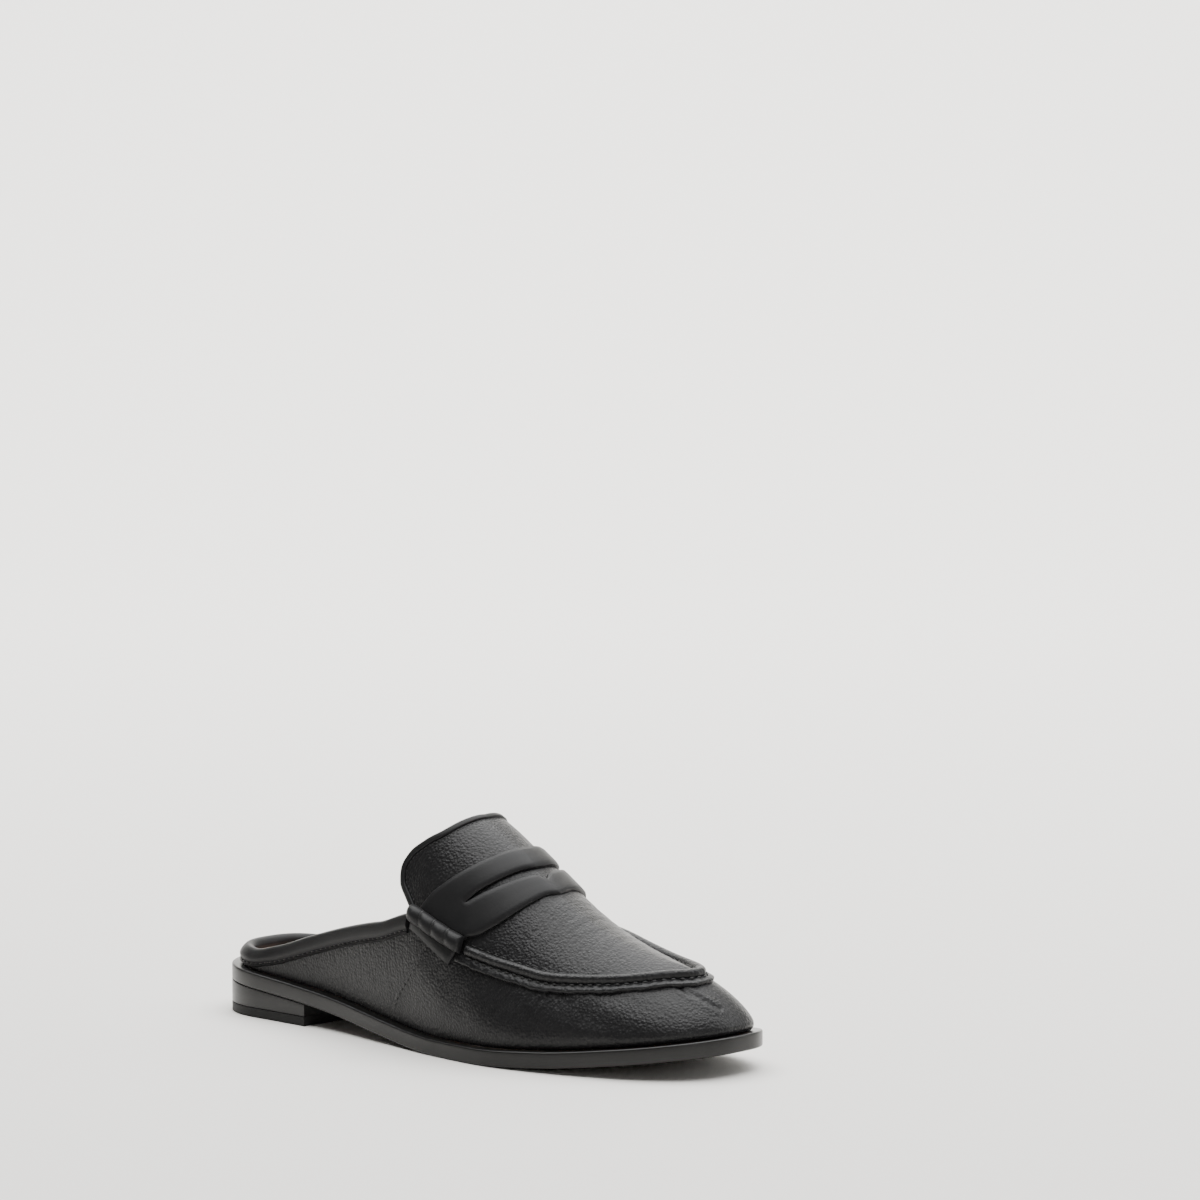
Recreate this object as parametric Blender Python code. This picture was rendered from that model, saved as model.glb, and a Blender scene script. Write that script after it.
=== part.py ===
"""Slip-on loafer mule for the right foot, in black leather.

Built in metres with +Z up and +X from heel to toe; the lateral side is -Y.
Every soft piece is laid on one last surface, so each follows the others.
"""
import math

import bpy
import bmesh
import numpy as np

MM = 0.001

# Outsole
LENGTH = 262 * MM
BALL_WIDTH = 88 * MM
SOLE_THICKNESS = 6.6 * MM
TOE_SPRING = 9.8 * MM
TOE_SWING = 9.2 * MM
TOE_ROUND = 55 * MM
HEEL_ROUND = 30 * MM
SOLE_EDGE_ROUND = 0.7 * MM

# Heel
HEEL_REST = 14.2 * MM
BREAST = 58 * MM
LIFT_THICKNESS = 4.0 * MM

# Upper
INSTEP_HEIGHT = 92 * MM
TOPLINE_HEIGHT = 42.5 * MM
WALL = 1.6 * MM
LEDGE = 2.6 * MM
TUCK = 2.0 * MM
HEEL_LEAN = 3.6 * MM

# Pieces laid on the upper
STRAP_THICKNESS = 1.6 * MM
BINDING_WIDTH = 6.5 * MM
BINDING_INSIDE = 5.0 * MM
BINDING_THICKNESS = 1.3 * MM
EDGE_TAPE_WIDTH = 1.8 * MM
EDGE_TAPE_THICKNESS = 0.6 * MM
ROLL_WIDTH = 4.4 * MM
ROLL_HEIGHT = 3.1 * MM
FLANGE_WIDTH = 3.8 * MM
FLANGE_THICKNESS = 1.3 * MM
BEEF_ROLL_WIDTH = 7.4 * MM
BEEF_ROLL_HEIGHT = 4.2 * MM
BEEF_ROLL_LOBES = 4
INSOLE_THICKNESS = 2.4 * MM

# Clearance between pieces that touch, and the distance under which two points are one
GAP = 0.3 * MM
SKIN_GAP = 0.4 * MM
WELD = 0.02 * MM

LATERAL, MEDIAL = -1, 1

# Half widths of the outsole, as shares of the ball width.
# share of length, lateral, medial
OUTLINE = (
    (0.00, 0.315, 0.315),
    (0.12, 0.320, 0.320),
    (0.24, 0.332, 0.300),
    (0.42, 0.405, 0.318),
    (0.55, 0.470, 0.408),
    (0.66, 0.497, 0.470),
    (0.75, 0.470, 0.485),
    (0.85, 0.415, 0.450),
    (0.93, 0.385, 0.415),
    (1.00, 0.360, 0.385),
)
TOE_POWER = 2.6
HEEL_POWER = 2.5
SWING_START = 0.57

# Underside of the outsole, as shares of the heel rest and of the toe spring.
# share of length, heel rest, toe spring
UNDERSIDE = (
    (0.00, 1.00, 0.00),
    (0.22, 0.64, 0.00),
    (0.30, 0.48, 0.00),
    (0.40, 0.24, 0.00),
    (0.48, 0.07, 0.00),
    (0.55, 0.00, 0.00),
    (0.63, 0.00, 0.00),
    (0.75, 0.00, 0.16),
    (0.88, 0.00, 0.54),
    (1.00, 0.00, 1.00),
)

# Centre line over the instep: height as a share of the instep height,
# sideways place as a share of the toe swing.
# share of length, height, sideways
SPINE = (
    (0.00, 1.085, -0.10),
    (0.30, 1.095, -0.10),
    (0.42, 1.080, -0.10),
    (0.47, 1.047, -0.10),
    (0.52, 0.983, -0.15),
    (0.58, 0.877, -0.25),
    (0.63, 0.775, -0.28),
    (0.68, 0.675, -0.25),
    (0.763, 0.548, 0.10),
    (0.84, 0.476, 0.50),
    (0.92, 0.430, 0.90),
    (1.00, 0.390, 1.00),
)
# The sections fan out round the toe and the heel (shares of length).
SPINE_FAN_START = 0.62
SPINE_TOE_END = 0.885
SPINE_HEEL_FAN = 0.32
SPINE_HEEL_END = 0.16

# Fullness of the cross section: the power of its rounded shape.
# share of length, lateral, medial
FULLNESS = (
    (0.00, 2.30, 2.30),
    (0.35, 2.30, 2.40),
    (0.47, 2.25, 2.70),
    (0.52, 2.05, 2.50),
    (0.58, 1.80, 2.30),
    (0.68, 1.55, 2.05),
    (0.76, 1.60, 1.90),
    (0.84, 1.65, 1.80),
    (1.00, 1.60, 1.60),
)

# Height of the topline above the outsole, as a share of its height at the throat.
# share of length, height
TOPLINE = (
    (0.00, 0.150),
    (0.07, 0.163),
    (0.13, 0.255),
    (0.22, 0.467),
    (0.31, 0.685),
    (0.38, 0.840),
    (0.44, 0.945),
    (0.48, 1.000),
)
THROAT = 0.478
THROAT_BLEND = 0.09
LEAN_END = 0.42
# The foot of the wall tucks in over the sole, up to this rise.
TUCK_END = 0.18

# Seam between the apron and the side wall, as rises over the section
# (0 at the outsole, 1 on the centre line).
# share of length, lateral, medial
SEAM = (
    (0.478, 0.315, 0.250),
    (0.57, 0.352, 0.320),
    (0.63, 0.400, 0.400),
    (0.68, 0.437, 0.480),
    (0.73, 0.455, 0.545),
    (0.78, 0.495, 0.585),
    (0.85, 0.570, 0.630),
    (0.90, 0.640, 0.675),
    (0.95, 0.715, 0.725),
    (1.00, 0.770, 0.770),
)

# Free edge of the tongue.
# rise over the section, share of length
TONGUE_EDGE = (
    (0.315, 0.478),
    (0.36, 0.452),
    (0.40, 0.434),
    (0.45, 0.430),
    (0.52, 0.440),
    (0.60, 0.462),
    (0.70, 0.487),
    (0.80, 0.500),
    (0.90, 0.508),
    (1.00, 0.512),
)

# Saddle strap from one side flap over the instep to the other.
# rise over the section, back edge, front edge, slot back, slot front (shares of length)
STRAP = (
    (0.27, 0.468, 0.562, 0.520, 0.520),
    (0.31, 0.476, 0.570, 0.530, 0.530),
    (0.36, 0.488, 0.577, 0.542, 0.542),
    (0.40, 0.497, 0.583, 0.550, 0.550),
    (0.44, 0.505, 0.601, 0.556, 0.556),
    (0.50, 0.520, 0.617, 0.5645, 0.5645),
    (0.58, 0.538, 0.633, 0.577, 0.582),
    (0.68, 0.557, 0.647, 0.594, 0.602),
    (0.78, 0.572, 0.657, 0.607, 0.617),
    (0.88, 0.581, 0.664, 0.616, 0.628),
    (0.95, 0.585, 0.669, 0.620, 0.634),
    (1.00, 0.586, 0.671, 0.621, 0.643),
)

# Beef rolls and the seam roll that starts in front of them (shares of length).
BEEF_ROLL_BACK = 0.474
BEEF_ROLL_FRONT = 0.584
SEAM_ROLL_START = 0.593
FLANGE_START = 0.577
BINDING_END = 0.460
# Size of a beef roll in its grooves and at its ends, as shares of its full size,
# and how far its middle lies above the seam, as a rise.
GROOVE_SWELL = 0.70
END_SWELL = 0.55
BEEF_ROLL_SHIFT = 0.012

# Facets
SOLE_STATIONS = 52
INSOLE_STATIONS = 44
HEEL_STATIONS = 14
QUARTER_COLUMNS = 15
VAMP_COLUMNS = 27
BINDING_COLUMNS = 16
SEAM_COLUMNS = 26
LOBE_STEPS = 5
WALL_ROWS = 6
APRON_ROWS = (0.0, 0.035, 0.075, 0.12, 0.18, 0.26, 0.36, 0.48, 0.60, 0.73, 0.87, 1.0)
TONGUE_COLUMNS = 10


def clear_scene():
    for obj in list(bpy.data.objects):
        bpy.data.objects.remove(obj, do_unlink=True)


def smooth(rows, x, column=1):
    """Value of one table column at x, by a curve that keeps the rows' own ups and downs."""
    table = np.asarray(rows, float)
    xs, ys = table[:, 0], table[:, column]
    step = np.diff(xs)
    slope = np.diff(ys) / step
    tangent = np.zeros(len(xs))
    tangent[0], tangent[-1] = slope[0], slope[-1]
    for i in range(1, len(xs) - 1):
        before, after = slope[i - 1], slope[i]
        if before * after > 0:
            wide, narrow = 2 * step[i] + step[i - 1], step[i] + 2 * step[i - 1]
            tangent[i] = 3 * (step[i - 1] + step[i]) / (wide / before + narrow / after)
    x = np.clip(x, xs[0], xs[-1])
    k = np.clip(np.searchsorted(xs, x, side="right") - 1, 0, len(xs) - 2)
    t = (x - xs[k]) / step[k]
    return (
        (2 * t**3 - 3 * t**2 + 1) * ys[k]
        + (t**3 - 2 * t**2 + t) * step[k] * tangent[k]
        + (3 * t**2 - 2 * t**3) * ys[k + 1]
        + (t**3 - t**2) * step[k] * tangent[k + 1]
    )


def sole_bottom(x):
    share = x / LENGTH
    return smooth(UNDERSIDE, share, 1) * HEEL_REST + smooth(UNDERSIDE, share, 2) * TOE_SPRING


def sole_top(x):
    return sole_bottom(x) + SOLE_THICKNESS


def sole_centre(x):
    return TOE_SWING * np.clip((x / LENGTH - SWING_START) / (1 - SWING_START), 0, 1) ** 2


def half_width(side, x):
    width = smooth(OUTLINE, x / LENGTH, 1 if side == LATERAL else 2) * BALL_WIDTH
    heel = np.clip(1 - x / HEEL_ROUND, 0, 1)
    toe = np.clip((x - LENGTH + TOE_ROUND) / TOE_ROUND, 0, 1)
    heel_round = (1 - heel**HEEL_POWER) ** (1 / HEEL_POWER)
    toe_round = (1 - toe**TOE_POWER) ** (1 / TOE_POWER)
    return width * heel_round * toe_round


class Outline:
    """The outsole's edge in plan, read at a from 0 at the heel to 1 at the toe."""

    def __init__(self, samples=1200):
        self.a = np.linspace(0, 1, samples)
        self.points, self.inward = {}, {}
        for side in (LATERAL, MEDIAL):
            x = LENGTH * (1 - np.cos(np.pi * self.a)) / 2
            points = np.stack([x, sole_centre(x) + side * half_width(side, x)], -1)
            tangent = np.gradient(points, axis=0)
            tangent[0], tangent[-1] = (0, side), (0, -side)
            tangent /= np.linalg.norm(tangent, axis=1)[:, None]
            self.points[side] = points
            self.inward[side] = np.stack([tangent[:, 1], -tangent[:, 0]], -1) * side

    def at(self, side, a, inset=0.0):
        points = self.points[side] + self.inward[side] * inset
        return np.stack([np.interp(a, self.a, points[:, k]) for k in (0, 1)], -1)

    def a_at(self, x):
        return np.interp(x, self.points[LATERAL][:, 0], self.a)


class Last:
    """The outer skin of the upper, read by side, by a along the outsole's edge and by rise."""

    def __init__(self, outline):
        self.outline = outline

    def spine_place(self, x):
        share = x / LENGTH
        toe = np.clip((share - SPINE_FAN_START) / (1 - SPINE_FAN_START), 0, 1)
        heel = np.clip(1 - share / SPINE_HEEL_FAN, 0, 1)
        place = (share - (1 - SPINE_TOE_END) * toe**2 + SPINE_HEEL_END * heel**2) * LENGTH
        return np.stack([place, smooth(SPINE, place / LENGTH, 2) * TOE_SWING], -1)

    def on_skin(self, side, a, rise):
        foot = self.outline.at(side, a, LEDGE)
        x = self.outline.at(LATERAL, a)[..., 0]
        power = smooth(FULLNESS, x / LENGTH, 1 if side == LATERAL else 2)
        angle = rise * np.pi / 2
        across = 1 - np.clip(np.cos(angle), 0, 1) ** (2 / power)
        up = np.clip(np.sin(angle), 0, 1) ** (2 / power)
        reach = self.spine_place(x) - foot
        distance = np.linalg.norm(reach, axis=-1) + 1e-12
        tuck = TUCK * np.clip(1 - rise / TUCK_END, 0, 1) ** 2
        plan = foot + reach * (across + tuck / distance)[..., None]
        low = sole_top(plan[..., 0]) + GAP
        high = smooth(SPINE, plan[..., 0] / LENGTH, 1) * INSTEP_HEIGHT
        height = (high - low) * up
        collar = smooth(TOPLINE, x / LENGTH) * TOPLINE_HEIGHT
        fade = np.clip(1 - x / LENGTH / LEAN_END, 0, 1)
        lean = HEEL_LEAN * fade * np.clip(height / collar, 0, 1.3) ** 2
        plan = plan + reach * (lean / distance)[..., None]
        return np.concatenate([plan, (low + height)[..., None]], -1)

    def slopes(self, side, a, rise):
        e = 1e-3
        along = self.on_skin(side, np.clip(a + e, 0, 1), rise)
        along = along - self.on_skin(side, np.clip(a - e, 0, 1), rise)
        over = self.on_skin(side, a, np.clip(rise + e, 0, 1))
        over = over - self.on_skin(side, a, np.clip(rise - e, 0, 1))
        spread = np.clip(rise + e, 0, 1) - np.clip(rise - e, 0, 1)
        return along, over / spread[..., None]

    def at(self, side, a, rise, out=0.0):
        """Point on the skin, moved out along its normal."""
        a, rise = np.broadcast_arrays(np.asarray(a, float), np.asarray(rise, float))
        normal = self.normal(side, a, rise)
        shared = (rise >= 1) | (a <= 0) | (a >= 1)
        normal = np.where(shared[..., None], normal + self.normal(-side, a, rise), normal)
        normal /= np.linalg.norm(normal, axis=-1, keepdims=True)
        return self.on_skin(side, a, rise) + normal * np.asarray(out)[..., None]

    def normal(self, side, a, rise):
        tip = 0.004
        a = np.clip(a, tip, 1 - tip)
        along, over = self.slopes(side, a, rise)
        normal = np.cross(over, along) * side
        return normal / (np.linalg.norm(normal, axis=-1, keepdims=True) + 1e-15)

    def step(self, side, a, rise, distance):
        """Rise reached by going this far over the section from the given rise."""
        a, rise = np.broadcast_arrays(np.asarray(a, float), np.asarray(rise, float))
        reached = rise
        for _ in range(4):
            over = self.slopes(side, a, np.clip(reached, 0.02, 0.98))[1]
            reached = reached + distance / 4 / np.linalg.norm(over, axis=-1)
        return reached

    def rise_at_height(self, side, a, height):
        rises = np.linspace(0, 1, 401)
        found = []
        for one, high in np.broadcast(a, height):
            z = self.on_skin(side, np.full(401, one), rises)[:, 2]
            found.append(np.interp(high, z, rises))
        return np.array(found)

    def a_at_place(self, side, share, rise):
        """Station whose point at this rise lies at this share of the length."""
        stations = np.linspace(0.02, 1, 600)
        x = self.on_skin(side, stations, np.full(600, rise))[:, 0]
        return float(np.interp(share * LENGTH, x, stations))


OUTSOLE_EDGE = Outline()
LAST = Last(OUTSOLE_EDGE)


def share_of(a):
    return OUTSOLE_EDGE.at(LATERAL, a)[..., 0] / LENGTH


def column_of(side):
    return 1 if side == LATERAL else 2


def seam_rise(side, a):
    return smooth(SEAM, share_of(a), column_of(side))


def topline_rise(side, a):
    """Rise of the topline, which runs into the seam at the throat."""
    a = np.atleast_1d(np.asarray(a, float))
    place = OUTSOLE_EDGE.at(side, a, LEDGE)[:, 0]
    height = sole_top(place) + smooth(TOPLINE, share_of(a)) * TOPLINE_HEIGHT
    rise = LAST.rise_at_height(side, a, height)
    blend = np.clip((share_of(a) - THROAT + THROAT_BLEND) / THROAT_BLEND, 0, 1) ** 2
    return rise + (seam_rise(side, OUTSOLE_EDGE.a_at(THROAT * LENGTH)) - rise) * blend


class Shell:
    """Quads between named points, each with an upper and an under place, closed to one solid."""

    def __init__(self):
        self.index, self.outer, self.inner, self.faces = {}, [], [], []

    def point(self, outer, inner):
        key = tuple(np.round(np.concatenate([outer, inner]) / WELD).astype(int))
        if key not in self.index:
            self.index[key] = len(self.outer)
            self.outer.append(tuple(outer))
            self.inner.append(tuple(inner))
        return self.index[key]

    def grid(self, outer, inner, flip=False, skip=()):
        """Faces of a grid of points; skip names the column gaps that are left open."""
        rows, columns = outer.shape[:2]
        ids = [[self.point(outer[r, c], inner[r, c]) for c in range(columns)] for r in range(rows)]
        for r in range(rows - 1):
            for c in range(columns - 1):
                if c in skip:
                    continue
                loop = [ids[r][c], ids[r][c + 1], ids[r + 1][c + 1], ids[r + 1][c]]
                loop = [k for n, k in enumerate(loop) if k != loop[n - 1]]
                if len(set(loop)) < 3:
                    continue
                self.faces.append(loop[::-1] if flip else loop)

    def solid(self):
        count = len(self.outer)
        faces = [tuple(loop) for loop in self.faces]
        faces += [tuple(k + count for k in reversed(loop)) for loop in self.faces]
        edges = {}
        for loop in self.faces:
            for start, end in zip(loop, loop[1:] + loop[:1]):
                edges[(start, end)] = True
        for start, end in edges:
            if (end, start) not in edges:
                faces.append((end, start, start + count, end + count))
        return self.outer + self.inner, faces


def make_object(name, points, faces, material, sharp=35.0):
    """One mesh object whose faces all look outward."""
    mesh = bpy.data.meshes.new(name)
    mesh.from_pydata([tuple(float(v) for v in p) for p in points], [], faces)
    mesh.validate()
    work = bmesh.new()
    work.from_mesh(mesh)
    loose = [v for v in work.verts if not v.link_faces]
    bmesh.ops.delete(work, geom=loose, context="VERTS")
    bmesh.ops.recalc_face_normals(work, faces=work.faces)
    if work.calc_volume(signed=True) < 0:
        bmesh.ops.reverse_faces(work, faces=work.faces)
    work.to_mesh(mesh)
    work.free()
    mesh.shade_smooth()
    mesh.set_sharp_from_angle(angle=math.radians(sharp))
    mesh.materials.append(material)
    obj = bpy.data.objects.new(name, mesh)
    bpy.context.scene.collection.objects.link(obj)
    return obj


def material(name, colour, roughness, metallic=0.0):
    made = bpy.data.materials.new(name)
    made.use_nodes = True
    made.diffuse_color = (*colour, 1)
    shader = made.node_tree.nodes["Principled BSDF"]
    shader.inputs["Base Color"].default_value = (*colour, 1)
    shader.inputs["Roughness"].default_value = roughness
    shader.inputs["Metallic"].default_value = metallic
    return made


def slab(name, stations, rows, material_, close_front=False):
    """A flat-lying piece cut to the outsole's edge; rows are (inset, height function)."""
    points, rings = [], []
    for inset, height in rows:
        ring = {}
        for side in (LATERAL, MEDIAL):
            plan = OUTSOLE_EDGE.at(side, stations, inset)
            if close_front:
                plan[-1, 0] = BREAST
            ring[side] = []
            for n, (x, y) in enumerate(plan):
                tip = n == 0 or (n == len(stations) - 1 and not close_front)
                if tip and side == MEDIAL:
                    ring[side].append(ring[LATERAL][n])
                    continue
                points.append((x, y, float(height(x))))
                ring[side].append(len(points) - 1)
        rings.append(ring)
    faces = []
    last = len(stations) - 1
    for n in range(last):
        for ring in (rings[0], rings[-1]):
            loop = [ring[LATERAL][n], ring[LATERAL][n + 1], ring[MEDIAL][n + 1], ring[MEDIAL][n]]
            faces.append([k for i, k in enumerate(loop) if k != loop[i - 1]])
        for low, high in zip(rings, rings[1:]):
            for side in (LATERAL, MEDIAL):
                faces.append((low[side][n], low[side][n + 1], high[side][n + 1], high[side][n]))
    if close_front:
        for low, high in zip(rings, rings[1:]):
            faces.append((low[LATERAL][last], low[MEDIAL][last], high[MEDIAL][last], high[LATERAL][last]))
    return make_object(name, points, faces, material_)


def strip(name, path, profile, material_):
    """A closed profile carried along a path on the skin.

    path holds (side, a, rise); profile holds (distance over the section, distance out).
    """
    rings = []
    for side, a, rise in path:
        ring = []
        for over, out in profile:
            there = LAST.step(side, a, rise, over)
            ring.append(LAST.at(side, a, np.clip(there, 0.0, 1.0), out))
        rings.append(ring)
    return swept(name, rings, material_)


def swept(name, rings, material_):
    count = len(rings[0])
    points = [p for ring in rings for p in ring]
    faces = [tuple(range(count)), tuple(range((len(rings) - 1) * count, len(rings) * count))]
    for n in range(len(rings) - 1):
        for k in range(count):
            k2 = (k + 1) % count
            faces.append((n * count + k, n * count + k2, (n + 1) * count + k2, (n + 1) * count + k))
    return make_object(name, points, faces, material_, sharp=50.0)


def stations_between(first, last, count, side=LATERAL):
    """Stations at even steps of length along one side of the outsole's edge."""
    dense = np.linspace(first, last, 400)
    plan = OUTSOLE_EDGE.at(side, dense)
    run = np.concatenate([[0], np.cumsum(np.linalg.norm(np.diff(plan, axis=0), axis=1))])
    return np.interp(np.linspace(0, run[-1], count), run, dense)


def make_outsole(rubber):
    r = SOLE_EDGE_ROUND
    rows = (
        (r, sole_bottom),
        (0.0, lambda x: sole_bottom(x) + r),
        (0.0, lambda x: sole_top(x) - r),
        (r, sole_top),
    )
    stations = stations_between(0, 1, SOLE_STATIONS)
    return slab("outsole", stations, rows, rubber)


def make_heel(rubber, hard_rubber):
    front = OUTSOLE_EDGE.a_at(BREAST)
    stations = stations_between(0, front, HEEL_STATIONS)
    r = SOLE_EDGE_ROUND
    block_rows = (
        (0.0, lambda x: LIFT_THICKNESS + GAP),
        (0.0, lambda x: sole_bottom(x) - GAP),
    )
    lift_rows = (
        (r, lambda x: 0.0),
        (0.0, lambda x: r),
        (0.0, lambda x: LIFT_THICKNESS),
    )
    slab("heel_block", stations, block_rows, rubber, close_front=True)
    slab("heel_lift", stations, lift_rows, hard_rubber, close_front=True)


def make_insole(lining):
    inset = LEDGE + TUCK + WALL + 2 * SKIN_GAP
    rows = (
        (inset, lambda x: sole_top(x) + GAP),
        (inset, lambda x: sole_top(x) + INSOLE_THICKNESS - GAP),
        (inset + GAP, lambda x: sole_top(x) + INSOLE_THICKNESS),
    )
    return slab("insole", stations_between(0, 1, INSOLE_STATIONS), rows, lining)


def make_upper(leather):
    shell = Shell()
    throat = OUTSOLE_EDGE.a_at(THROAT * LENGTH)

    def lay(side, a, rise, flip):
        shell.grid(LAST.at(side, a, rise), LAST.at(side, a, rise, -WALL), flip)

    for side in (LATERAL, MEDIAL):
        flip = side == MEDIAL
        quarter = stations_between(0, throat, QUARTER_COLUMNS + 1)
        vamp = stations_between(throat, 1, VAMP_COLUMNS + 1)
        wall = np.linspace(0, 1, WALL_ROWS + 1)[:, None]
        top = topline_rise(side, quarter)
        seam = seam_rise(side, vamp)
        lay(side, *np.broadcast_arrays(quarter[None, :], wall * top[None, :]), flip)
        lay(side, *np.broadcast_arrays(vamp[None, :], wall * seam[None, :]), flip)
        rises = seam[None, :] + (1 - seam[None, :]) * np.array(APRON_ROWS)[:, None]
        back = np.array([tongue_edge(side, rise) for rise in rises[:, 0]]) - throat
        fade = np.clip(1 - np.arange(VAMP_COLUMNS + 1) / TONGUE_COLUMNS, 0, 1) ** 1.5
        lay(side, vamp[None, :] + back[:, None] * fade[None, :], rises, flip)
    return make_object("upper", *shell.solid(), leather)


def tongue_edge(side, rise):
    """Station of the tongue's free edge at this rise, which meets the throat at the seam."""
    throat = OUTSOLE_EDGE.a_at(THROAT * LENGTH)
    start = float(seam_rise(side, throat))
    first = TONGUE_EDGE[0][0]
    moved = first + (rise - start) * (1 - first) / (1 - start)
    if moved <= first:
        return float(throat)
    return LAST.a_at_place(side, float(smooth(TONGUE_EDGE, moved)), rise)


def carried_over(side, share, rise):
    """Rise on this side that lies as far above the seam as the lateral rise does."""
    a = OUTSOLE_EDGE.a_at(share * LENGTH)
    lateral, here = float(seam_rise(LATERAL, a)), float(seam_rise(side, a))
    return rise + (here - lateral) * min((1 - rise) / (1 - lateral), 1.0)


def make_strap(leather):
    """Saddle strap with its slot, laid over both sides in one piece."""
    shell = Shell()
    table = np.asarray(STRAP)
    rises = np.concatenate([np.linspace(STRAP[0][0], 0.5, 6), np.linspace(0.58, 1.0, 7)])
    for side in (LATERAL, MEDIAL):
        grid_a, grid_rise = [], []
        for rise in rises:
            back, front, slot_back, slot_front = (float(smooth(table, rise, k)) for k in (1, 2, 3, 4))
            if slot_front - slot_back < 0.001:
                slot_back = slot_front = (slot_back + slot_front) / 2
            places = list(np.linspace(back, slot_back, 4)) + list(np.linspace(slot_front, front, 4))
            moved = [carried_over(side, place, rise) for place in places]
            grid_a.append([LAST.a_at_place(side, *there) for there in zip(places, moved)])
            grid_rise.append(moved)
        a, rise = np.array(grid_a), np.array(grid_rise)
        outer = LAST.at(side, a, rise, SKIN_GAP + STRAP_THICKNESS)
        inner = LAST.at(side, a, rise, SKIN_GAP)
        shell.grid(outer, inner, flip=side == MEDIAL, skip=(3,))
    return make_object("saddle_strap", *shell.solid(), leather)


def seam_path(first, last, count):
    """Path on the seam from the lateral side round the toe to the medial side."""
    start = OUTSOLE_EDGE.a_at(first * LENGTH)
    stations = stations_between(start, OUTSOLE_EDGE.a_at(last * LENGTH), count)
    path = [(LATERAL, a, float(seam_rise(LATERAL, a))) for a in stations]
    path += [(MEDIAL, a, float(seam_rise(MEDIAL, a))) for a in stations[-2::-1]]
    return path


def half_round(width, height, lift, count=6):
    """Closed profile: flat underneath and round on top."""
    turns = [math.pi * n / (count - 1) for n in range(count)]
    return [(-width / 2 * math.cos(t), lift + height * math.sin(t) ** 0.8) for t in turns]


def make_seam_roll(leather):
    profile = half_round(ROLL_WIDTH, ROLL_HEIGHT, SKIN_GAP, 7)
    return strip("seam_roll", seam_path(SEAM_ROLL_START, 1, SEAM_COLUMNS), profile, leather)


def make_flange(leather):
    top = -ROLL_WIDTH / 2 - GAP
    low = top - FLANGE_WIDTH
    profile = (
        (low, SKIN_GAP),
        (low, SKIN_GAP + FLANGE_THICKNESS * 0.8),
        (low + FLANGE_THICKNESS * 0.4, SKIN_GAP + FLANGE_THICKNESS),
        (top, SKIN_GAP + FLANGE_THICKNESS * 0.8),
        (top, SKIN_GAP),
    )
    return strip("seam_flange", seam_path(FLANGE_START, 1, SEAM_COLUMNS + 1), profile, leather)


def make_beef_roll(side, leather):
    """Bundle of lobes that holds the strap's end down over the seam."""
    count = BEEF_ROLL_LOBES * LOBE_STEPS + 1
    first, last = (OUTSOLE_EDGE.a_at(share * LENGTH) for share in (BEEF_ROLL_BACK, BEEF_ROLL_FRONT))
    base = SKIN_GAP + STRAP_THICKNESS + GAP
    rings = []
    for n, a in enumerate(stations_between(first, last, count)):
        lobe = abs(math.sin(math.pi * n / LOBE_STEPS)) ** 0.7
        swell = GROOVE_SWELL + (1 - GROOVE_SWELL) * lobe
        if n in (0, count - 1):
            swell = END_SWELL
        narrow = 0.75 + 0.25 * swell
        middle = float(seam_rise(side, a)) + BEEF_ROLL_SHIFT
        ring = []
        for over, out in half_round(BEEF_ROLL_WIDTH, BEEF_ROLL_HEIGHT, 0.0, 8):
            there = LAST.step(side, a, middle, over * narrow)
            ring.append(LAST.at(side, a, there, base + out * swell))
        rings.append(ring)
    name = "beef_roll_lateral" if side == LATERAL else "beef_roll_medial"
    return swept(name, rings, leather)


def make_binding(leather):
    """Collar strip folded over the topline, round the heel from strap to strap."""
    end = OUTSOLE_EDGE.a_at(BINDING_END * LENGTH)
    stations = stations_between(0, end, BINDING_COLUMNS)
    path = [(LATERAL, a) for a in stations[::-1]] + [(MEDIAL, a) for a in stations[1:]]
    thick = BINDING_THICKNESS
    rings = []
    for side, a in path:
        top = float(topline_rise(side, a)[0])
        foot = LAST.on_skin(side, a, np.array(0.0))[2]
        clear = INSOLE_THICKNESS + WALL + BINDING_THICKNESS
        lowest = LAST.rise_at_height(side, [a, a], [foot + GAP, foot + clear])
        outside = max(float(LAST.step(side, a, top, -BINDING_WIDTH)), lowest[0])
        inside = max(float(LAST.step(side, a, top, -BINDING_INSIDE)), lowest[1])
        above, crest = (float(LAST.step(side, a, top, d)) for d in (GAP, GAP + thick))
        out, inn = SKIN_GAP + thick, -WALL - SKIN_GAP - thick
        ring = (
            (outside, SKIN_GAP),
            (outside, SKIN_GAP + thick / 2),
            ((outside + top) / 2, out),
            (top, out),
            (crest, 0.0),
            (crest, -WALL),
            (top, inn),
            (inside, inn),
            (inside, -WALL - SKIN_GAP),
            (top, -WALL - SKIN_GAP),
            (above, -WALL),
            (above, 0.0),
            (top, SKIN_GAP),
            ((outside + top) / 2, SKIN_GAP),
        )
        rings.append([LAST.at(side, a, rise, n) for rise, n in ring])
    return swept("collar_binding", rings, leather)


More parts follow.
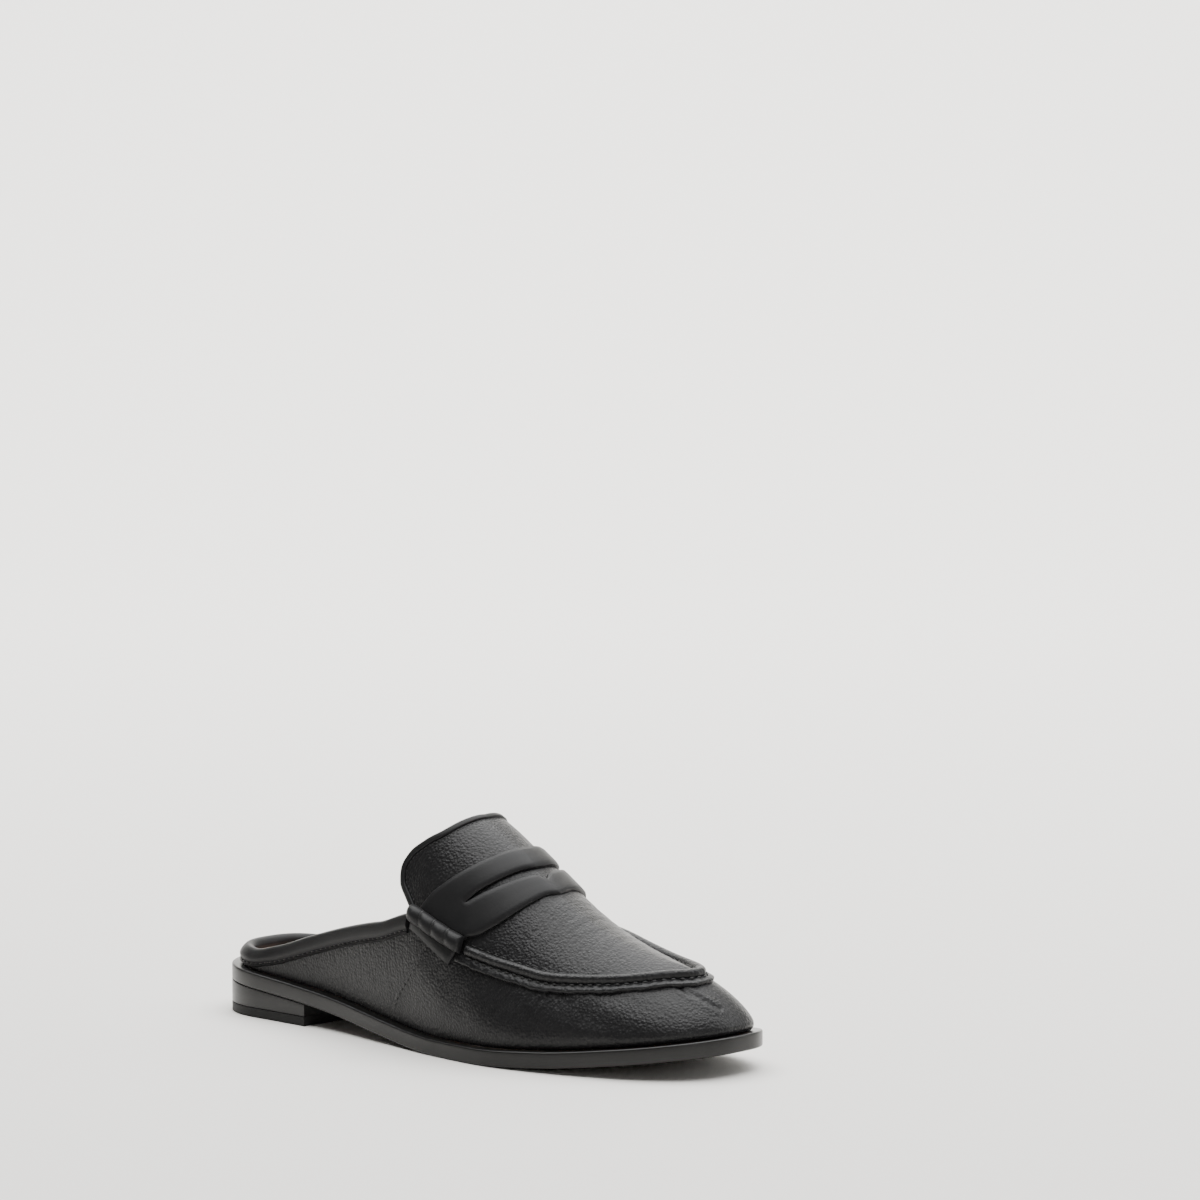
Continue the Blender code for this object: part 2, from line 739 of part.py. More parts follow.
def make_edge_tape(leather):
    """Thin tape folded over the tongue's free edge."""
    throat = OUTSOLE_EDGE.a_at(THROAT * LENGTH)
    path = []
    for side in (LATERAL, MEDIAL):
        start = float(seam_rise(side, throat))
        rises = start + (1 - start) * np.array(APRON_ROWS[1:])
        half = [(side, tongue_edge(side, rise), rise) for rise in rises]
        path += half if side == LATERAL else half[-2::-1]
    thick = EDGE_TAPE_THICKNESS
    centres = [LAST.at(side, a, rise, -WALL / 2) for side, a, rise in path]
    rings = []
    for n, (side, a, rise) in enumerate(path):
        here = centres[n]
        travel = centres[min(n + 1, len(path) - 1)] - centres[max(n - 1, 0)]
        travel /= np.linalg.norm(travel)
        normal = LAST.at(side, a, rise, 1 * MM) - LAST.at(side, a, rise)
        normal /= np.linalg.norm(normal)
        away = np.cross(normal, travel)
        away /= np.linalg.norm(away)
        if np.dot(away, (-1, 0, 0.4)) < 0:
            away = -away
        inner, outer = WALL / 2 + GAP, WALL / 2 + GAP + thick
        profile = (
            (-EDGE_TAPE_WIDTH, inner),
            (-EDGE_TAPE_WIDTH, outer),
            (GAP, outer),
            (GAP + thick, outer / 2),
            (GAP + thick, -outer / 2),
            (GAP, -outer),
            (-EDGE_TAPE_WIDTH, -outer),
            (-EDGE_TAPE_WIDTH, -inner),
            (GAP, -inner),
            (GAP, inner),
        )
        rings.append([here + away * over + normal * out for over, out in profile])
    return swept("tongue_edge_tape", rings, leather)


def stand_in_the_middle():
    """Put the origin under the middle of the outsole."""
    sole = bpy.data.objects["outsole"]
    corners = np.array([v.co for v in sole.data.vertices])
    middle = (corners.min(axis=0) + corners.max(axis=0)) / 2
    base = bpy.data.objects.new("shoe", None)
    bpy.context.scene.collection.objects.link(base)
    base.location = (-middle[0], -middle[1], 0)
    for obj in list(bpy.context.scene.objects):
        if obj.type == "MESH":
            obj.parent = base


def build():
    clear_scene()
    leather = material("black_grain_leather", (0.012, 0.012, 0.013), 0.42)
    smooth_leather = material("black_smooth_leather", (0.014, 0.014, 0.015), 0.48)
    rubber = material("black_sole_edge", (0.016, 0.015, 0.015), 0.35)
    hard_rubber = material("black_heel_rubber", (0.018, 0.018, 0.018), 0.6)
    lining = material("nude_sock_leather", (0.56, 0.42, 0.35), 0.6)
    make_outsole(rubber)
    make_heel(rubber, hard_rubber)
    make_insole(lining)
    make_upper(leather)
    make_strap(smooth_leather)
    make_seam_roll(leather)
    make_flange(smooth_leather)
    make_beef_roll(LATERAL, smooth_leather)
    make_beef_roll(MEDIAL, smooth_leather)
    make_binding(smooth_leather)
    make_edge_tape(smooth_leather)
    stand_in_the_middle()


build()
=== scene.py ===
import math

import bmesh
import bpy
import numpy as np
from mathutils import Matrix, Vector


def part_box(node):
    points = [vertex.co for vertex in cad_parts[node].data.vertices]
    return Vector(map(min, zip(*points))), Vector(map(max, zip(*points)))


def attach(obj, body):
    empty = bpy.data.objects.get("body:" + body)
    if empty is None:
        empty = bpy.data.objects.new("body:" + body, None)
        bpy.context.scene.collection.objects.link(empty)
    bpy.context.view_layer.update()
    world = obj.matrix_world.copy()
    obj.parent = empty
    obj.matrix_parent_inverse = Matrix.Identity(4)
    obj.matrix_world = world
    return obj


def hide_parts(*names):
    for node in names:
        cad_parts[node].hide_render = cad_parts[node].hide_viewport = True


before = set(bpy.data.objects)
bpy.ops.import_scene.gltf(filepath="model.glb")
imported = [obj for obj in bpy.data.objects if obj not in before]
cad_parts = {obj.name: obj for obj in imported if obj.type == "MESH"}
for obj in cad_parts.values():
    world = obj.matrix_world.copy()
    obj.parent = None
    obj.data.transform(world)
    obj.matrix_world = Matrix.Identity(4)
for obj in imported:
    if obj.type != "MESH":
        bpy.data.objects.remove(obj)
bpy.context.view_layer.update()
print("frame loaded:", len(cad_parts), "nodes")

mm = 0.001
lateral, medial = -1, 1

# Sizes of the shoe, read from its heel: x runs to the toe, z up from the floor.
shoe = {
    "length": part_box("outsole")[1].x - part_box("outsole")[0].x,
    "ballWidth": 88 * mm,
    "soleThickness": 6.6 * mm,
    "toeSpring": 9.8 * mm,
    "toeSwing": 9.2 * mm,
    "toeRound": 55 * mm,
    "toePower": 2.6,
    "heelRound": 30 * mm,
    "heelPower": 2.5,
    "swingStart": 0.57,
    "heelRest": 14.2 * mm,
    "breast": 58 * mm,
    "liftThickness": 4.0 * mm,
    "instepHeight": 92 * mm,
    "toplineHeight": 42.5 * mm,
    "wall": 1.6 * mm,
    "ledge": 2.6 * mm,
    "tuck": 2.0 * mm,
    "tuckEnd": 0.18,
    "heelLean": 3.6 * mm,
    "throat": 0.478,
    "throatBlend": 0.09,
    "leanEnd": 0.42,
    "toeFan": 0.62,  # the sections fan out round the toe from this share of the length
    "toeFanReach": 0.115,
    "heelFan": 0.32,
    "heelFanReach": 0.16,
    "skinGap": 0.4 * mm,
    "gap": 0.3 * mm,
}

# Share of the length, half width on the lateral side, on the medial side (shares of the ball width).
outlineRows = (
    (0.00, 0.315, 0.315), (0.12, 0.320, 0.320), (0.24, 0.332, 0.300), (0.42, 0.405, 0.318),
    (0.55, 0.470, 0.408), (0.66, 0.497, 0.470), (0.75, 0.470, 0.485), (0.85, 0.415, 0.450),
    (0.93, 0.385, 0.415), (1.00, 0.360, 0.385),
)
# Share of the length, share of the heel rest, share of the toe spring.
undersideRows = (
    (0.00, 1.00, 0.00), (0.22, 0.64, 0.00), (0.30, 0.48, 0.00), (0.40, 0.24, 0.00), (0.48, 0.07, 0.00),
    (0.55, 0.00, 0.00), (0.63, 0.00, 0.00), (0.75, 0.00, 0.16), (0.88, 0.00, 0.54), (1.00, 0.00, 1.00),
)
# Share of the length, height over the instep, sideways place (share of the toe swing).
spineRows = (
    (0.00, 1.085, -0.10), (0.30, 1.095, -0.10), (0.42, 1.080, -0.10), (0.47, 1.047, -0.10),
    (0.52, 0.983, -0.15), (0.58, 0.877, -0.25), (0.63, 0.775, -0.28), (0.68, 0.675, -0.25),
    (0.763, 0.548, 0.10), (0.84, 0.476, 0.50), (0.92, 0.430, 0.90), (1.00, 0.390, 1.00),
)
# Share of the length, fullness of the section on the lateral side, on the medial side.
fullnessRows = (
    (0.00, 2.30, 2.30), (0.35, 2.30, 2.40), (0.47, 2.25, 2.70), (0.52, 2.05, 2.50), (0.58, 1.80, 2.30),
    (0.68, 1.55, 2.05), (0.76, 1.60, 1.90), (0.84, 1.65, 1.80), (1.00, 1.60, 1.60),
)
# Share of the length, height of the topline.
toplineRows = (
    (0.00, 0.150), (0.07, 0.163), (0.13, 0.255), (0.22, 0.467), (0.31, 0.685), (0.38, 0.840),
    (0.44, 0.945), (0.48, 1.000),
)
# Share of the length, rise of the apron seam on the lateral side, on the medial side.
seamRows = (
    (0.478, 0.315, 0.250), (0.57, 0.352, 0.320), (0.63, 0.400, 0.400), (0.68, 0.437, 0.480),
    (0.73, 0.455, 0.545), (0.78, 0.495, 0.585), (0.85, 0.570, 0.630), (0.90, 0.640, 0.675),
    (0.95, 0.715, 0.725), (1.00, 0.770, 0.770),
)
# Rise, share of the length of the tongue's free edge.
tongueRows = (
    (0.315, 0.478), (0.36, 0.452), (0.40, 0.434), (0.45, 0.430), (0.52, 0.440), (0.60, 0.462),
    (0.70, 0.487), (0.80, 0.500), (0.90, 0.508), (1.00, 0.512),
)
# Rise, then back edge, front edge, slot back and slot front of the strap (shares of the length).
strapRows = (
    (0.27, 0.468, 0.562, 0.520, 0.520), (0.31, 0.476, 0.570, 0.530, 0.530),
    (0.36, 0.488, 0.577, 0.542, 0.542), (0.40, 0.497, 0.583, 0.550, 0.550),
    (0.44, 0.505, 0.601, 0.556, 0.556), (0.50, 0.520, 0.617, 0.5645, 0.5645),
    (0.58, 0.538, 0.633, 0.577, 0.582), (0.68, 0.557, 0.647, 0.594, 0.602),
    (0.78, 0.572, 0.657, 0.607, 0.617), (0.88, 0.581, 0.664, 0.616, 0.628),
    (0.95, 0.585, 0.669, 0.620, 0.634), (1.00, 0.586, 0.671, 0.621, 0.643),
)


def readRows(rows, x, column=1):
    # A curve through the rows that keeps their own ups and downs.
    table = np.asarray(rows, float)
    xs, ys = table[:, 0], table[:, column]
    step = np.diff(xs)
    slope = np.diff(ys) / step
    tangent = np.zeros(len(xs))
    tangent[0], tangent[-1] = slope[0], slope[-1]
    for i in range(1, len(xs) - 1):
        before, after = slope[i - 1], slope[i]
        if before * after > 0:
            wide, narrow = 2 * step[i] + step[i - 1], step[i] + 2 * step[i - 1]
            tangent[i] = 3 * (step[i - 1] + step[i]) / (wide / before + narrow / after)
    x = np.clip(x, xs[0], xs[-1])
    k = np.clip(np.searchsorted(xs, x, side="right") - 1, 0, len(xs) - 2)
    t = (x - xs[k]) / step[k]
    here = (2 * t**3 - 3 * t**2 + 1) * ys[k] + (t**3 - 2 * t**2 + t) * step[k] * tangent[k]
    return here + (3 * t**2 - 2 * t**3) * ys[k + 1] + (t**3 - t**2) * step[k] * tangent[k + 1]


def ease(low, high, x):
    t = np.clip((x - low) / (high - low), 0, 1)
    return t * t * (3 - 2 * t)


def bell(x, width):
    return np.exp(-((x / width) ** 2))


def columnOf(side):
    return 1 if side == lateral else 2


def soleBottom(x):
    share = x / shoe["length"]
    heel, toe = readRows(undersideRows, share, 1), readRows(undersideRows, share, 2)
    return heel * shoe["heelRest"] + toe * shoe["toeSpring"]


def soleTop(x):
    return soleBottom(x) + shoe["soleThickness"]


def soleCentre(x):
    start = shoe["swingStart"]
    return shoe["toeSwing"] * np.clip((x / shoe["length"] - start) / (1 - start), 0, 1) ** 2


def halfWidth(side, x):
    width = readRows(outlineRows, x / shoe["length"], columnOf(side)) * shoe["ballWidth"]
    heel = np.clip(1 - x / shoe["heelRound"], 0, 1)
    toe = np.clip((x - shoe["length"] + shoe["toeRound"]) / shoe["toeRound"], 0, 1)
    heelPower, toePower = shoe["heelPower"], shoe["toePower"]
    return width * (1 - heel**heelPower) ** (1 / heelPower) * (1 - toe**toePower) ** (1 / toePower)


class SoleEdge:
    # The outsole's edge in plan, read at a station a from 0 at the heel to 1 at the toe.
    def __init__(self, samples=2400):
        self.a = np.linspace(0, 1, samples)
        self.points, self.inward, self.run = {}, {}, {}
        for side in (lateral, medial):
            x = shoe["length"] * (1 - np.cos(np.pi * self.a)) / 2
            points = np.stack([x, soleCentre(x) + side * halfWidth(side, x)], -1)
            tangent = np.gradient(points, axis=0)
            tangent[0], tangent[-1] = (0, side), (0, -side)
            tangent /= np.linalg.norm(tangent, axis=1)[:, None]
            self.points[side] = points
            self.inward[side] = np.stack([tangent[:, 1], -tangent[:, 0]], -1) * side
            steps = np.linalg.norm(np.diff(points, axis=0), axis=1)
            self.run[side] = np.concatenate([[0], np.cumsum(steps)])

    def at(self, side, a, inset=0.0):
        points = self.points[side] + self.inward[side] * inset
        return np.stack([np.interp(a, self.a, points[:, k]) for k in (0, 1)], -1)

    def stationOf(self, share):
        return np.interp(share * shoe["length"], self.points[lateral][:, 0], self.a)

    def runAt(self, side, a):
        return np.interp(a, self.a, self.run[side])

    def evenly(self, first, last, count):
        runs = np.linspace(self.runAt(lateral, first), self.runAt(lateral, last), count)
        return np.interp(runs, self.run[lateral], self.a)


soleEdge = SoleEdge()


def shareOf(a):
    return soleEdge.at(lateral, a)[..., 0] / shoe["length"]


class Skin:
    # The upper's outer skin over the last, read by side, by station and by rise over the section.
    def spine(self, x):
        share = x / shoe["length"]
        toe = np.clip((share - shoe["toeFan"]) / (1 - shoe["toeFan"]), 0, 1)
        heel = np.clip(1 - share / shoe["heelFan"], 0, 1)
        place = share - shoe["toeFanReach"] * toe**2 + shoe["heelFanReach"] * heel**2
        return np.stack([place * shoe["length"], readRows(spineRows, place, 2) * shoe["toeSwing"]], -1)

    def bare(self, side, a, rise):
        foot = soleEdge.at(side, a, shoe["ledge"])
        x = soleEdge.at(lateral, a)[..., 0]
        power = readRows(fullnessRows, x / shoe["length"], columnOf(side))
        angle = rise * np.pi / 2
        across = 1 - np.clip(np.cos(angle), 0, 1) ** (2 / power)
        up = np.clip(np.sin(angle), 0, 1) ** (2 / power)
        reach = self.spine(x) - foot
        distance = np.linalg.norm(reach, axis=-1) + 1e-12
        tuck = shoe["tuck"] * np.clip(1 - rise / shoe["tuckEnd"], 0, 1) ** 2
        plan = foot + reach * (across + tuck / distance)[..., None]
        low = soleTop(plan[..., 0]) + shoe["gap"]
        high = readRows(spineRows, plan[..., 0] / shoe["length"]) * shoe["instepHeight"]
        height = (high - low) * up
        collar = readRows(toplineRows, x / shoe["length"]) * shoe["toplineHeight"]
        fade = np.clip(1 - x / shoe["length"] / shoe["leanEnd"], 0, 1)
        lean = shoe["heelLean"] * fade * np.clip(height / collar, 0, 1.3) ** 2
        plan = plan + reach * (lean / distance)[..., None]
        return np.concatenate([plan, (low + height)[..., None]], -1)

    def slopes(self, side, a, rise):
        e = 1e-3
        along = self.bare(side, np.clip(a + e, 0, 1), rise) - self.bare(side, np.clip(a - e, 0, 1), rise)
        over = self.bare(side, a, np.clip(rise + e, 0, 1)) - self.bare(side, a, np.clip(rise - e, 0, 1))
        spread = np.clip(rise + e, 0, 1) - np.clip(rise - e, 0, 1)
        return along, over / spread[..., None]

    def oneNormal(self, side, a, rise):
        along, over = self.slopes(side, np.clip(a, 0.004, 0.996), rise)
        normal = np.cross(over, along) * side
        return normal / (np.linalg.norm(normal, axis=-1, keepdims=True) + 1e-15)

    def normal(self, side, a, rise):
        a, rise = np.broadcast_arrays(np.asarray(a, float), np.asarray(rise, float))
        normal = self.oneNormal(side, a, rise)
        shared = (rise >= 1) | (a <= 0) | (a >= 1)
        normal = np.where(shared[..., None], normal + self.oneNormal(-side, a, rise), normal)
        return normal / np.linalg.norm(normal, axis=-1, keepdims=True)

    def at(self, side, a, rise, out=0.0):
        a, rise = np.broadcast_arrays(np.asarray(a, float), np.asarray(rise, float))
        return self.bare(side, a, rise) + self.normal(side, a, rise) * np.asarray(out)[..., None]

    def step(self, side, a, rise, distance, parts=4):
        # Rise reached by going a distance over the section.
        a, rise, distance = np.broadcast_arrays(np.asarray(a, float), np.asarray(rise, float), distance)
        for _ in range(parts):
            over = self.slopes(side, a, np.clip(rise, 0.02, 0.98))[1]
            rise = rise + distance / parts / np.linalg.norm(over, axis=-1)
        return rise

    def riseAtHeight(self, side, a, height):
        rises = np.linspace(0, 1, 401)
        found = []
        for one, high in np.broadcast(a, height):
            z = self.bare(side, np.full(401, one), rises)[:, 2]
            found.append(np.interp(high, z, rises))
        return np.array(found)

    def stationAt(self, side, share, rise):
        stations = np.linspace(0.02, 1, 600)
        x = self.bare(side, stations, np.full(600, rise))[:, 0]
        return float(np.interp(share * shoe["length"], x, stations))


skin = Skin()
throatStation = float(soleEdge.stationOf(shoe["throat"]))
edgePlan = np.concatenate([soleEdge.points[lateral], soleEdge.points[medial]])
heelToMiddle = Vector((-shoe["length"] / 2, -(edgePlan[:, 1].min() + edgePlan[:, 1].max()) / 2, 0))


def seamRise(side, a):
    return readRows(seamRows, shareOf(a), columnOf(side))


def solveTopline(side, a):
    place = soleEdge.at(side, a, shoe["ledge"])[:, 0]
    height = soleTop(place) + readRows(toplineRows, shareOf(a)) * shoe["toplineHeight"]
    rise = skin.riseAtHeight(side, a, height)
    blend = np.clip((shareOf(a) - shoe["throat"] + shoe["throatBlend"]) / shoe["throatBlend"], 0, 1) ** 2
    return rise + (seamRise(side, throatStation) - rise) * blend


toplineStations = np.linspace(0, throatStation, 160)
toplineTables = {side: solveTopline(side, toplineStations) for side in (lateral, medial)}


def toplineRise(side, a):
    return np.interp(np.atleast_1d(a), toplineStations, toplineTables[side])


def topRise(side, a):
    # Upper end of the wall: the topline behind the throat, the seam in front of it.
    return np.where(a < throatStation, toplineRise(side, np.minimum(a, throatStation)), seamRise(side, a))


def tongueStation(side, rise):
    start, first = float(seamRise(side, throatStation)), tongueRows[0][0]
    moved = first + (rise - start) * (1 - first) / (1 - start)
    if moved <= first:
        return throatStation
    return skin.stationAt(side, float(readRows(tongueRows, moved)), rise)


def carriedOver(side, share, rise):
    # The rise on this side that lies as far above the seam as the lateral one does.
    a = soleEdge.stationOf(share)
    near, here = float(seamRise(lateral, a)), float(seamRise(side, a))
    return rise + (here - near) * min((1 - rise) / (1 - near), 1.0)


# Shader writing: a wire is a socket that can be reckoned with, a finish is a material.
class Wire:
    def __init__(self, finish, socket):
        self.finish, self.socket = finish, socket

    def __add__(self, other):
        return self.finish.reckon("ADD", self, other)

    def __rsub__(self, other):
        return self.finish.reckon("SUBTRACT", other, self)

    def __mul__(self, other):
        return self.finish.reckon("MULTIPLY", self, other)

    __radd__, __rmul__ = __add__, __mul__


class Finish:
    def __init__(self, name, **sockets):
        self.material = bpy.data.materials.new(name)
        self.material.use_nodes = True
        self.tree = self.material.node_tree
        self.shader = self.tree.nodes["Principled BSDF"]
        for key, value in sockets.items():
            self.shader.inputs[key.replace("_", " ")].default_value = value

    def node(self, kind, settings, sockets, output=0):
        made = self.tree.nodes.new(kind)
        for key, value in settings.items():
            if key == "stops":
                for stop, (place, shade) in zip(made.color_ramp.elements, value):
                    stop.position, stop.color = place, (shade, shade, shade, 1)
            else:
                setattr(made, key, value)
        for key, value in sockets.items():
            self.feed(made.inputs[key], value)
        return Wire(self, made.outputs[output])

    def feed(self, socket, value):
        if isinstance(value, Wire):
            self.tree.links.new(value.socket, socket)
        else:
            socket.default_value = value

    def reckon(self, operation, first, second):
        return self.node("ShaderNodeMath", {"operation": operation}, {0: first, 1: second})

    def set(self, **sockets):
        for key, value in sockets.items():
            self.feed(self.shader.inputs[key.replace("_", " ")], value)
        return self.material

    def places(self, stretch=(1, 1, 1)):
        spots = self.node("ShaderNodeTexCoord", {}, {}, "Object")
        return self.node("ShaderNodeVectorMath", {"operation": "MULTIPLY"}, {0: spots, 1: stretch})

    def flow(self, stretch):
        spots = self.node("ShaderNodeAttribute", {"attribute_name": "flow"}, {}, "Vector")
        return self.node("ShaderNodeVectorMath", {"operation": "MULTIPLY"}, {0: spots, 1: stretch})

    def amount(self, name):
        return self.node("ShaderNodeAttribute", {"attribute_name": name}, {}, "Fac")

    def noise(self, vector, scale, detail=2.0, roughness=0.5):
        sockets = {"Vector": vector, "Scale": scale, "Detail": detail, "Roughness": roughness}
        return self.node("ShaderNodeTexNoise", {}, sockets, "Fac")

    def cells(self, vector, scale, smoothness=0.4):
        sockets = {"Vector": vector, "Scale": scale, "Smoothness": smoothness}
        return self.node("ShaderNodeTexVoronoi", {"feature": "SMOOTH_F1"}, sockets, "Distance")

    def blend(self, factor, first, second):
        settings = {"data_type": "RGBA"}
        return self.node("ShaderNodeMix", settings, {0: factor, 6: (*first, 1), 7: (*second, 1)}, 2)

    def ramp(self, value, *stops):
        return self.node("ShaderNodeValToRGB", {"stops": stops}, {"Fac": value})

    def bump(self, height, depth, strength=1.0):
        return self.node("ShaderNodeBump", {}, {"Height": height, "Distance": depth, "Strength": strength})


finishes = {
    "grain": {
        "colour": (0.0045, 0.0045, 0.0050), "worn": (0.0085, 0.0085, 0.0090), "depth": 0.42 * mm,
        "pebble": 880, "finePebble": 2024, "patch": 90, "wrinkle": (620, 95, 1), "folds": 1.9,
    },
    "smooth": {
        "colour": (0.0060, 0.0060, 0.0065), "worn": (0.0100, 0.0100, 0.0105), "depth": 0.05 * mm,
        "grain": 2600,
    },
    "edge": {"colour": (0.0045, 0.0044, 0.0042), "worn": (0.0085, 0.0083, 0.0080), "depth": 0.05 * mm},
    "rubber": {"colour": (0.008,) * 3, "worn": (0.014,) * 3, "speck": 1500, "depth": 0.10 * mm},
    "nude": {"colour": (0.62, 0.45, 0.37), "worn": (0.50, 0.35, 0.28), "grain": 1500, "depth": 0.06 * mm},
    "thread": {"colour": (0.008,) * 3, "worn": (0.02,) * 3, "speck": 2400, "depth": 0.06 * mm},
    "floor": {"colour": (0.80, 0.785, 0.755)},
}


def grainLeather():
    look = finishes["grain"]
    f = Finish("blackGrainLeather", Specular_IOR_Level=0.22, Coat_Roughness=0.25)
    here = f.places()
    warp = f.noise(here, 260, 2)
    pebbles = f.cells(here, look["pebble"], 0.35)
    fine = f.cells(here, look["finePebble"], 0.3)
    wrinkles = f.noise(f.flow(look["wrinkle"]), 1.0, 3.0, 0.55) * f.amount("creased")
    height = (1 - pebbles) * (0.55 + 0.5 * warp) + (1 - fine) * 0.22 + wrinkles * look["folds"]
    patch = f.noise(here, look["patch"], 3)
    f.set(
        Base_Color=f.blend(patch, look["colour"], look["worn"]),
        Roughness=0.30 + 0.10 * patch + 0.10 * pebbles,
        Coat_Weight=0.04 + 0.06 * patch,
        Normal=f.bump(height, look["depth"], 0.7),
    )
    return f.material


def smoothLeather():
    look = finishes["smooth"]
    f = Finish("blackSmoothLeather", Specular_IOR_Level=0.20)
    here = f.places()
    patch = f.noise(here, 120, 3)
    height = f.cells(here, look["grain"], 0.5) + f.noise(here, 420, 3) * 0.8
    f.set(
        Base_Color=f.blend(patch, look["colour"], look["worn"]),
        Roughness=0.40 + 0.10 * patch,
        Normal=f.bump(height, look["depth"], 0.6),
    )
    return f.material


def soleEdgeInk():
    look = finishes["edge"]
    f = Finish("blackSoleEdge", Specular_IOR_Level=0.25, Coat_Roughness=0.2)
    streaks = f.noise(f.places((1, 1, 9)), 160, 4)
    patch = f.noise(f.places(), 60, 2)
    f.set(
        Base_Color=f.blend(streaks, look["colour"], look["worn"]),
        Roughness=0.26 + 0.14 * streaks,
        Coat_Weight=0.08 + 0.10 * patch,
        Normal=f.bump(streaks, look["depth"], 0.5),
    )
    return f.material


def speckled(key, name, level, detail, rough, spread, strength):
    # A plain black stuff with one fine speck in colour, gloss and relief.
    look = finishes[key]
    f = Finish(name, Specular_IOR_Level=level)
    speck = f.noise(f.places(), look["speck"], detail)
    f.set(
        Base_Color=f.blend(speck, look["colour"], look["worn"]),
        Roughness=rough + spread * speck,
        Normal=f.bump(speck, look["depth"], strength),
    )
    return f.material


def nudeLeather():
    look = finishes["nude"]
    f = Finish("nudeSockLeather", Specular_IOR_Level=0.4)
    here = f.places()
    patch = f.noise(here, 45, 4)
    pores = f.cells(here, look["grain"], 0.4)
    f.set(
        Base_Color=f.blend(f.ramp(patch, (0.35, 0.0), (0.75, 0.6)), look["colour"], look["worn"]),
        Roughness=0.5 + 0.15 * patch,
        Normal=f.bump(pores + patch, look["depth"], 0.5),
    )
    return f.material


grain, smooth, inked = grainLeather(), smoothLeather(), soleEdgeInk()
rubber = speckled("rubber", "blackHeelRubber", 0.2, 3, 0.5, 0.15, 0.4)
nude = nudeLeather()
thread = speckled("thread", "blackWaxedThread", 0.3, 2, 0.34, 0.12, 0.5)
print("finishes made")


def makePiece(name, points, faces, finish, replaced, notes=None, sharp=45):
    # points are read from the heel; notes gives each point its values.
    mesh = bpy.data.meshes.new(name)
    spots = np.asarray(points, float) + np.array(heelToMiddle)
    mesh.from_pydata([tuple(p) for p in spots], [], faces)
    for key, values in (notes or {}).items():
        values = np.asarray(values, np.float32)
        if values.ndim == 2:
            mesh.attributes.new(key, "FLOAT_VECTOR", "POINT").data.foreach_set("vector", values.ravel())
        else:
            mesh.attributes.new(key, "FLOAT", "POINT").data.foreach_set("value", values)
    mesh.materials.append(finish)
    work = bmesh.new()
    work.from_mesh(mesh)
    bmesh.ops.recalc_face_normals(work, faces=work.faces)
    if work.calc_volume(signed=True) < 0:
        bmesh.ops.reverse_faces(work, faces=work.faces)
    work.to_mesh(mesh)
    work.free()
    mesh.shade_smooth()
    mesh.set_sharp_from_angle(angle=math.radians(sharp))
    piece = bpy.data.objects.new(name, mesh)
    bpy.context.scene.collection.objects.link(piece)
    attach(piece, "root")
    if replaced:
        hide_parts(*replaced)
    return piece


class Sheet:
    # Leather laid in grids of points: an outer and an inner face, closed round every free edge.
    def __init__(self):
        self.index, self.outer, self.inner, self.faces = {}, [], [], []
        self.flow, self.creased = [], []

    def lay(self, side, outer, inner, flow, creased, skip=()):
        if side == medial:
            outer, inner, flow, creased = outer[::-1], inner[::-1], flow[::-1], creased[::-1]
        rows, columns = outer.shape[:2]
        keys = np.round(np.concatenate([outer, inner], -1) / (0.02 * mm)).astype(int)
        ids = np.zeros((rows, columns), int)
        for r in range(rows):
            for c in range(columns):
                key = tuple(keys[r, c])
                if key not in self.index:
                    self.index[key] = len(self.outer)
                    self.outer.append(outer[r, c])
                    self.inner.append(inner[r, c])
                    self.flow.append(flow[r, c])
                    self.creased.append(creased[r, c])
                ids[r, c] = self.index[key]
        for r in range(rows - 1):
            for c in range(columns - 1):
                if c in skip:
                    continue
                loop = [int(k) for k in (ids[r, c], ids[r, c + 1], ids[r + 1, c + 1], ids[r + 1, c])]
                loop = [k for n, k in enumerate(loop) if k != loop[n - 1]]
                if len(set(loop)) > 2:
                    self.faces.append(loop)

    def make(self, name, finish, replaced):
        count = len(self.outer)
        faces = [tuple(loop) for loop in self.faces]
        faces += [tuple(k + count for k in reversed(loop)) for loop in self.faces]
        edges = {pair for loop in self.faces for pair in zip(loop, loop[1:] + loop[:1])}
        for start, end in sorted(edges):
            if (end, start) not in edges:
                faces.append((end, start, start + count, end + count))
        notes = {"flow": np.array(self.flow + self.flow), "creased": np.array(self.creased + self.creased)}
        return makePiece(name, self.outer + self.inner, faces, finish, replaced, notes)


def tubeFaces(base, steps, around):
    # Faces of a tube whose rings follow each other from point number base, with both ends capped.
    end = base + (steps - 1) * around
    faces = [tuple(range(base, base + around)), tuple(range(end, end + around))]
    for ring in range(base, end, around):
        for j in range(around):
            low, high = ring + j, ring + (j + 1) % around
            faces.append((low, high, high + around, low + around))
    return faces


def roundRing(centre, aside, up, radius, around):
    turns = [2 * math.pi * j / around for j in range(around)]
    return [centre + (aside * math.cos(turn) + up * math.sin(turn)) * radius for turn in turns]


def sweep(name, rings, finish, replaced, creased=0.0, sharp=60):
    # A closed profile carried along a path.
    rings = np.asarray(rings)
    steps, around = rings.shape[:2]
    notes = {"creased": np.full(steps * around, creased)}
    faces = tubeFaces(0, steps, around)
    return makePiece(name, rings.reshape(-1, 3), faces, finish, replaced, notes, sharp)


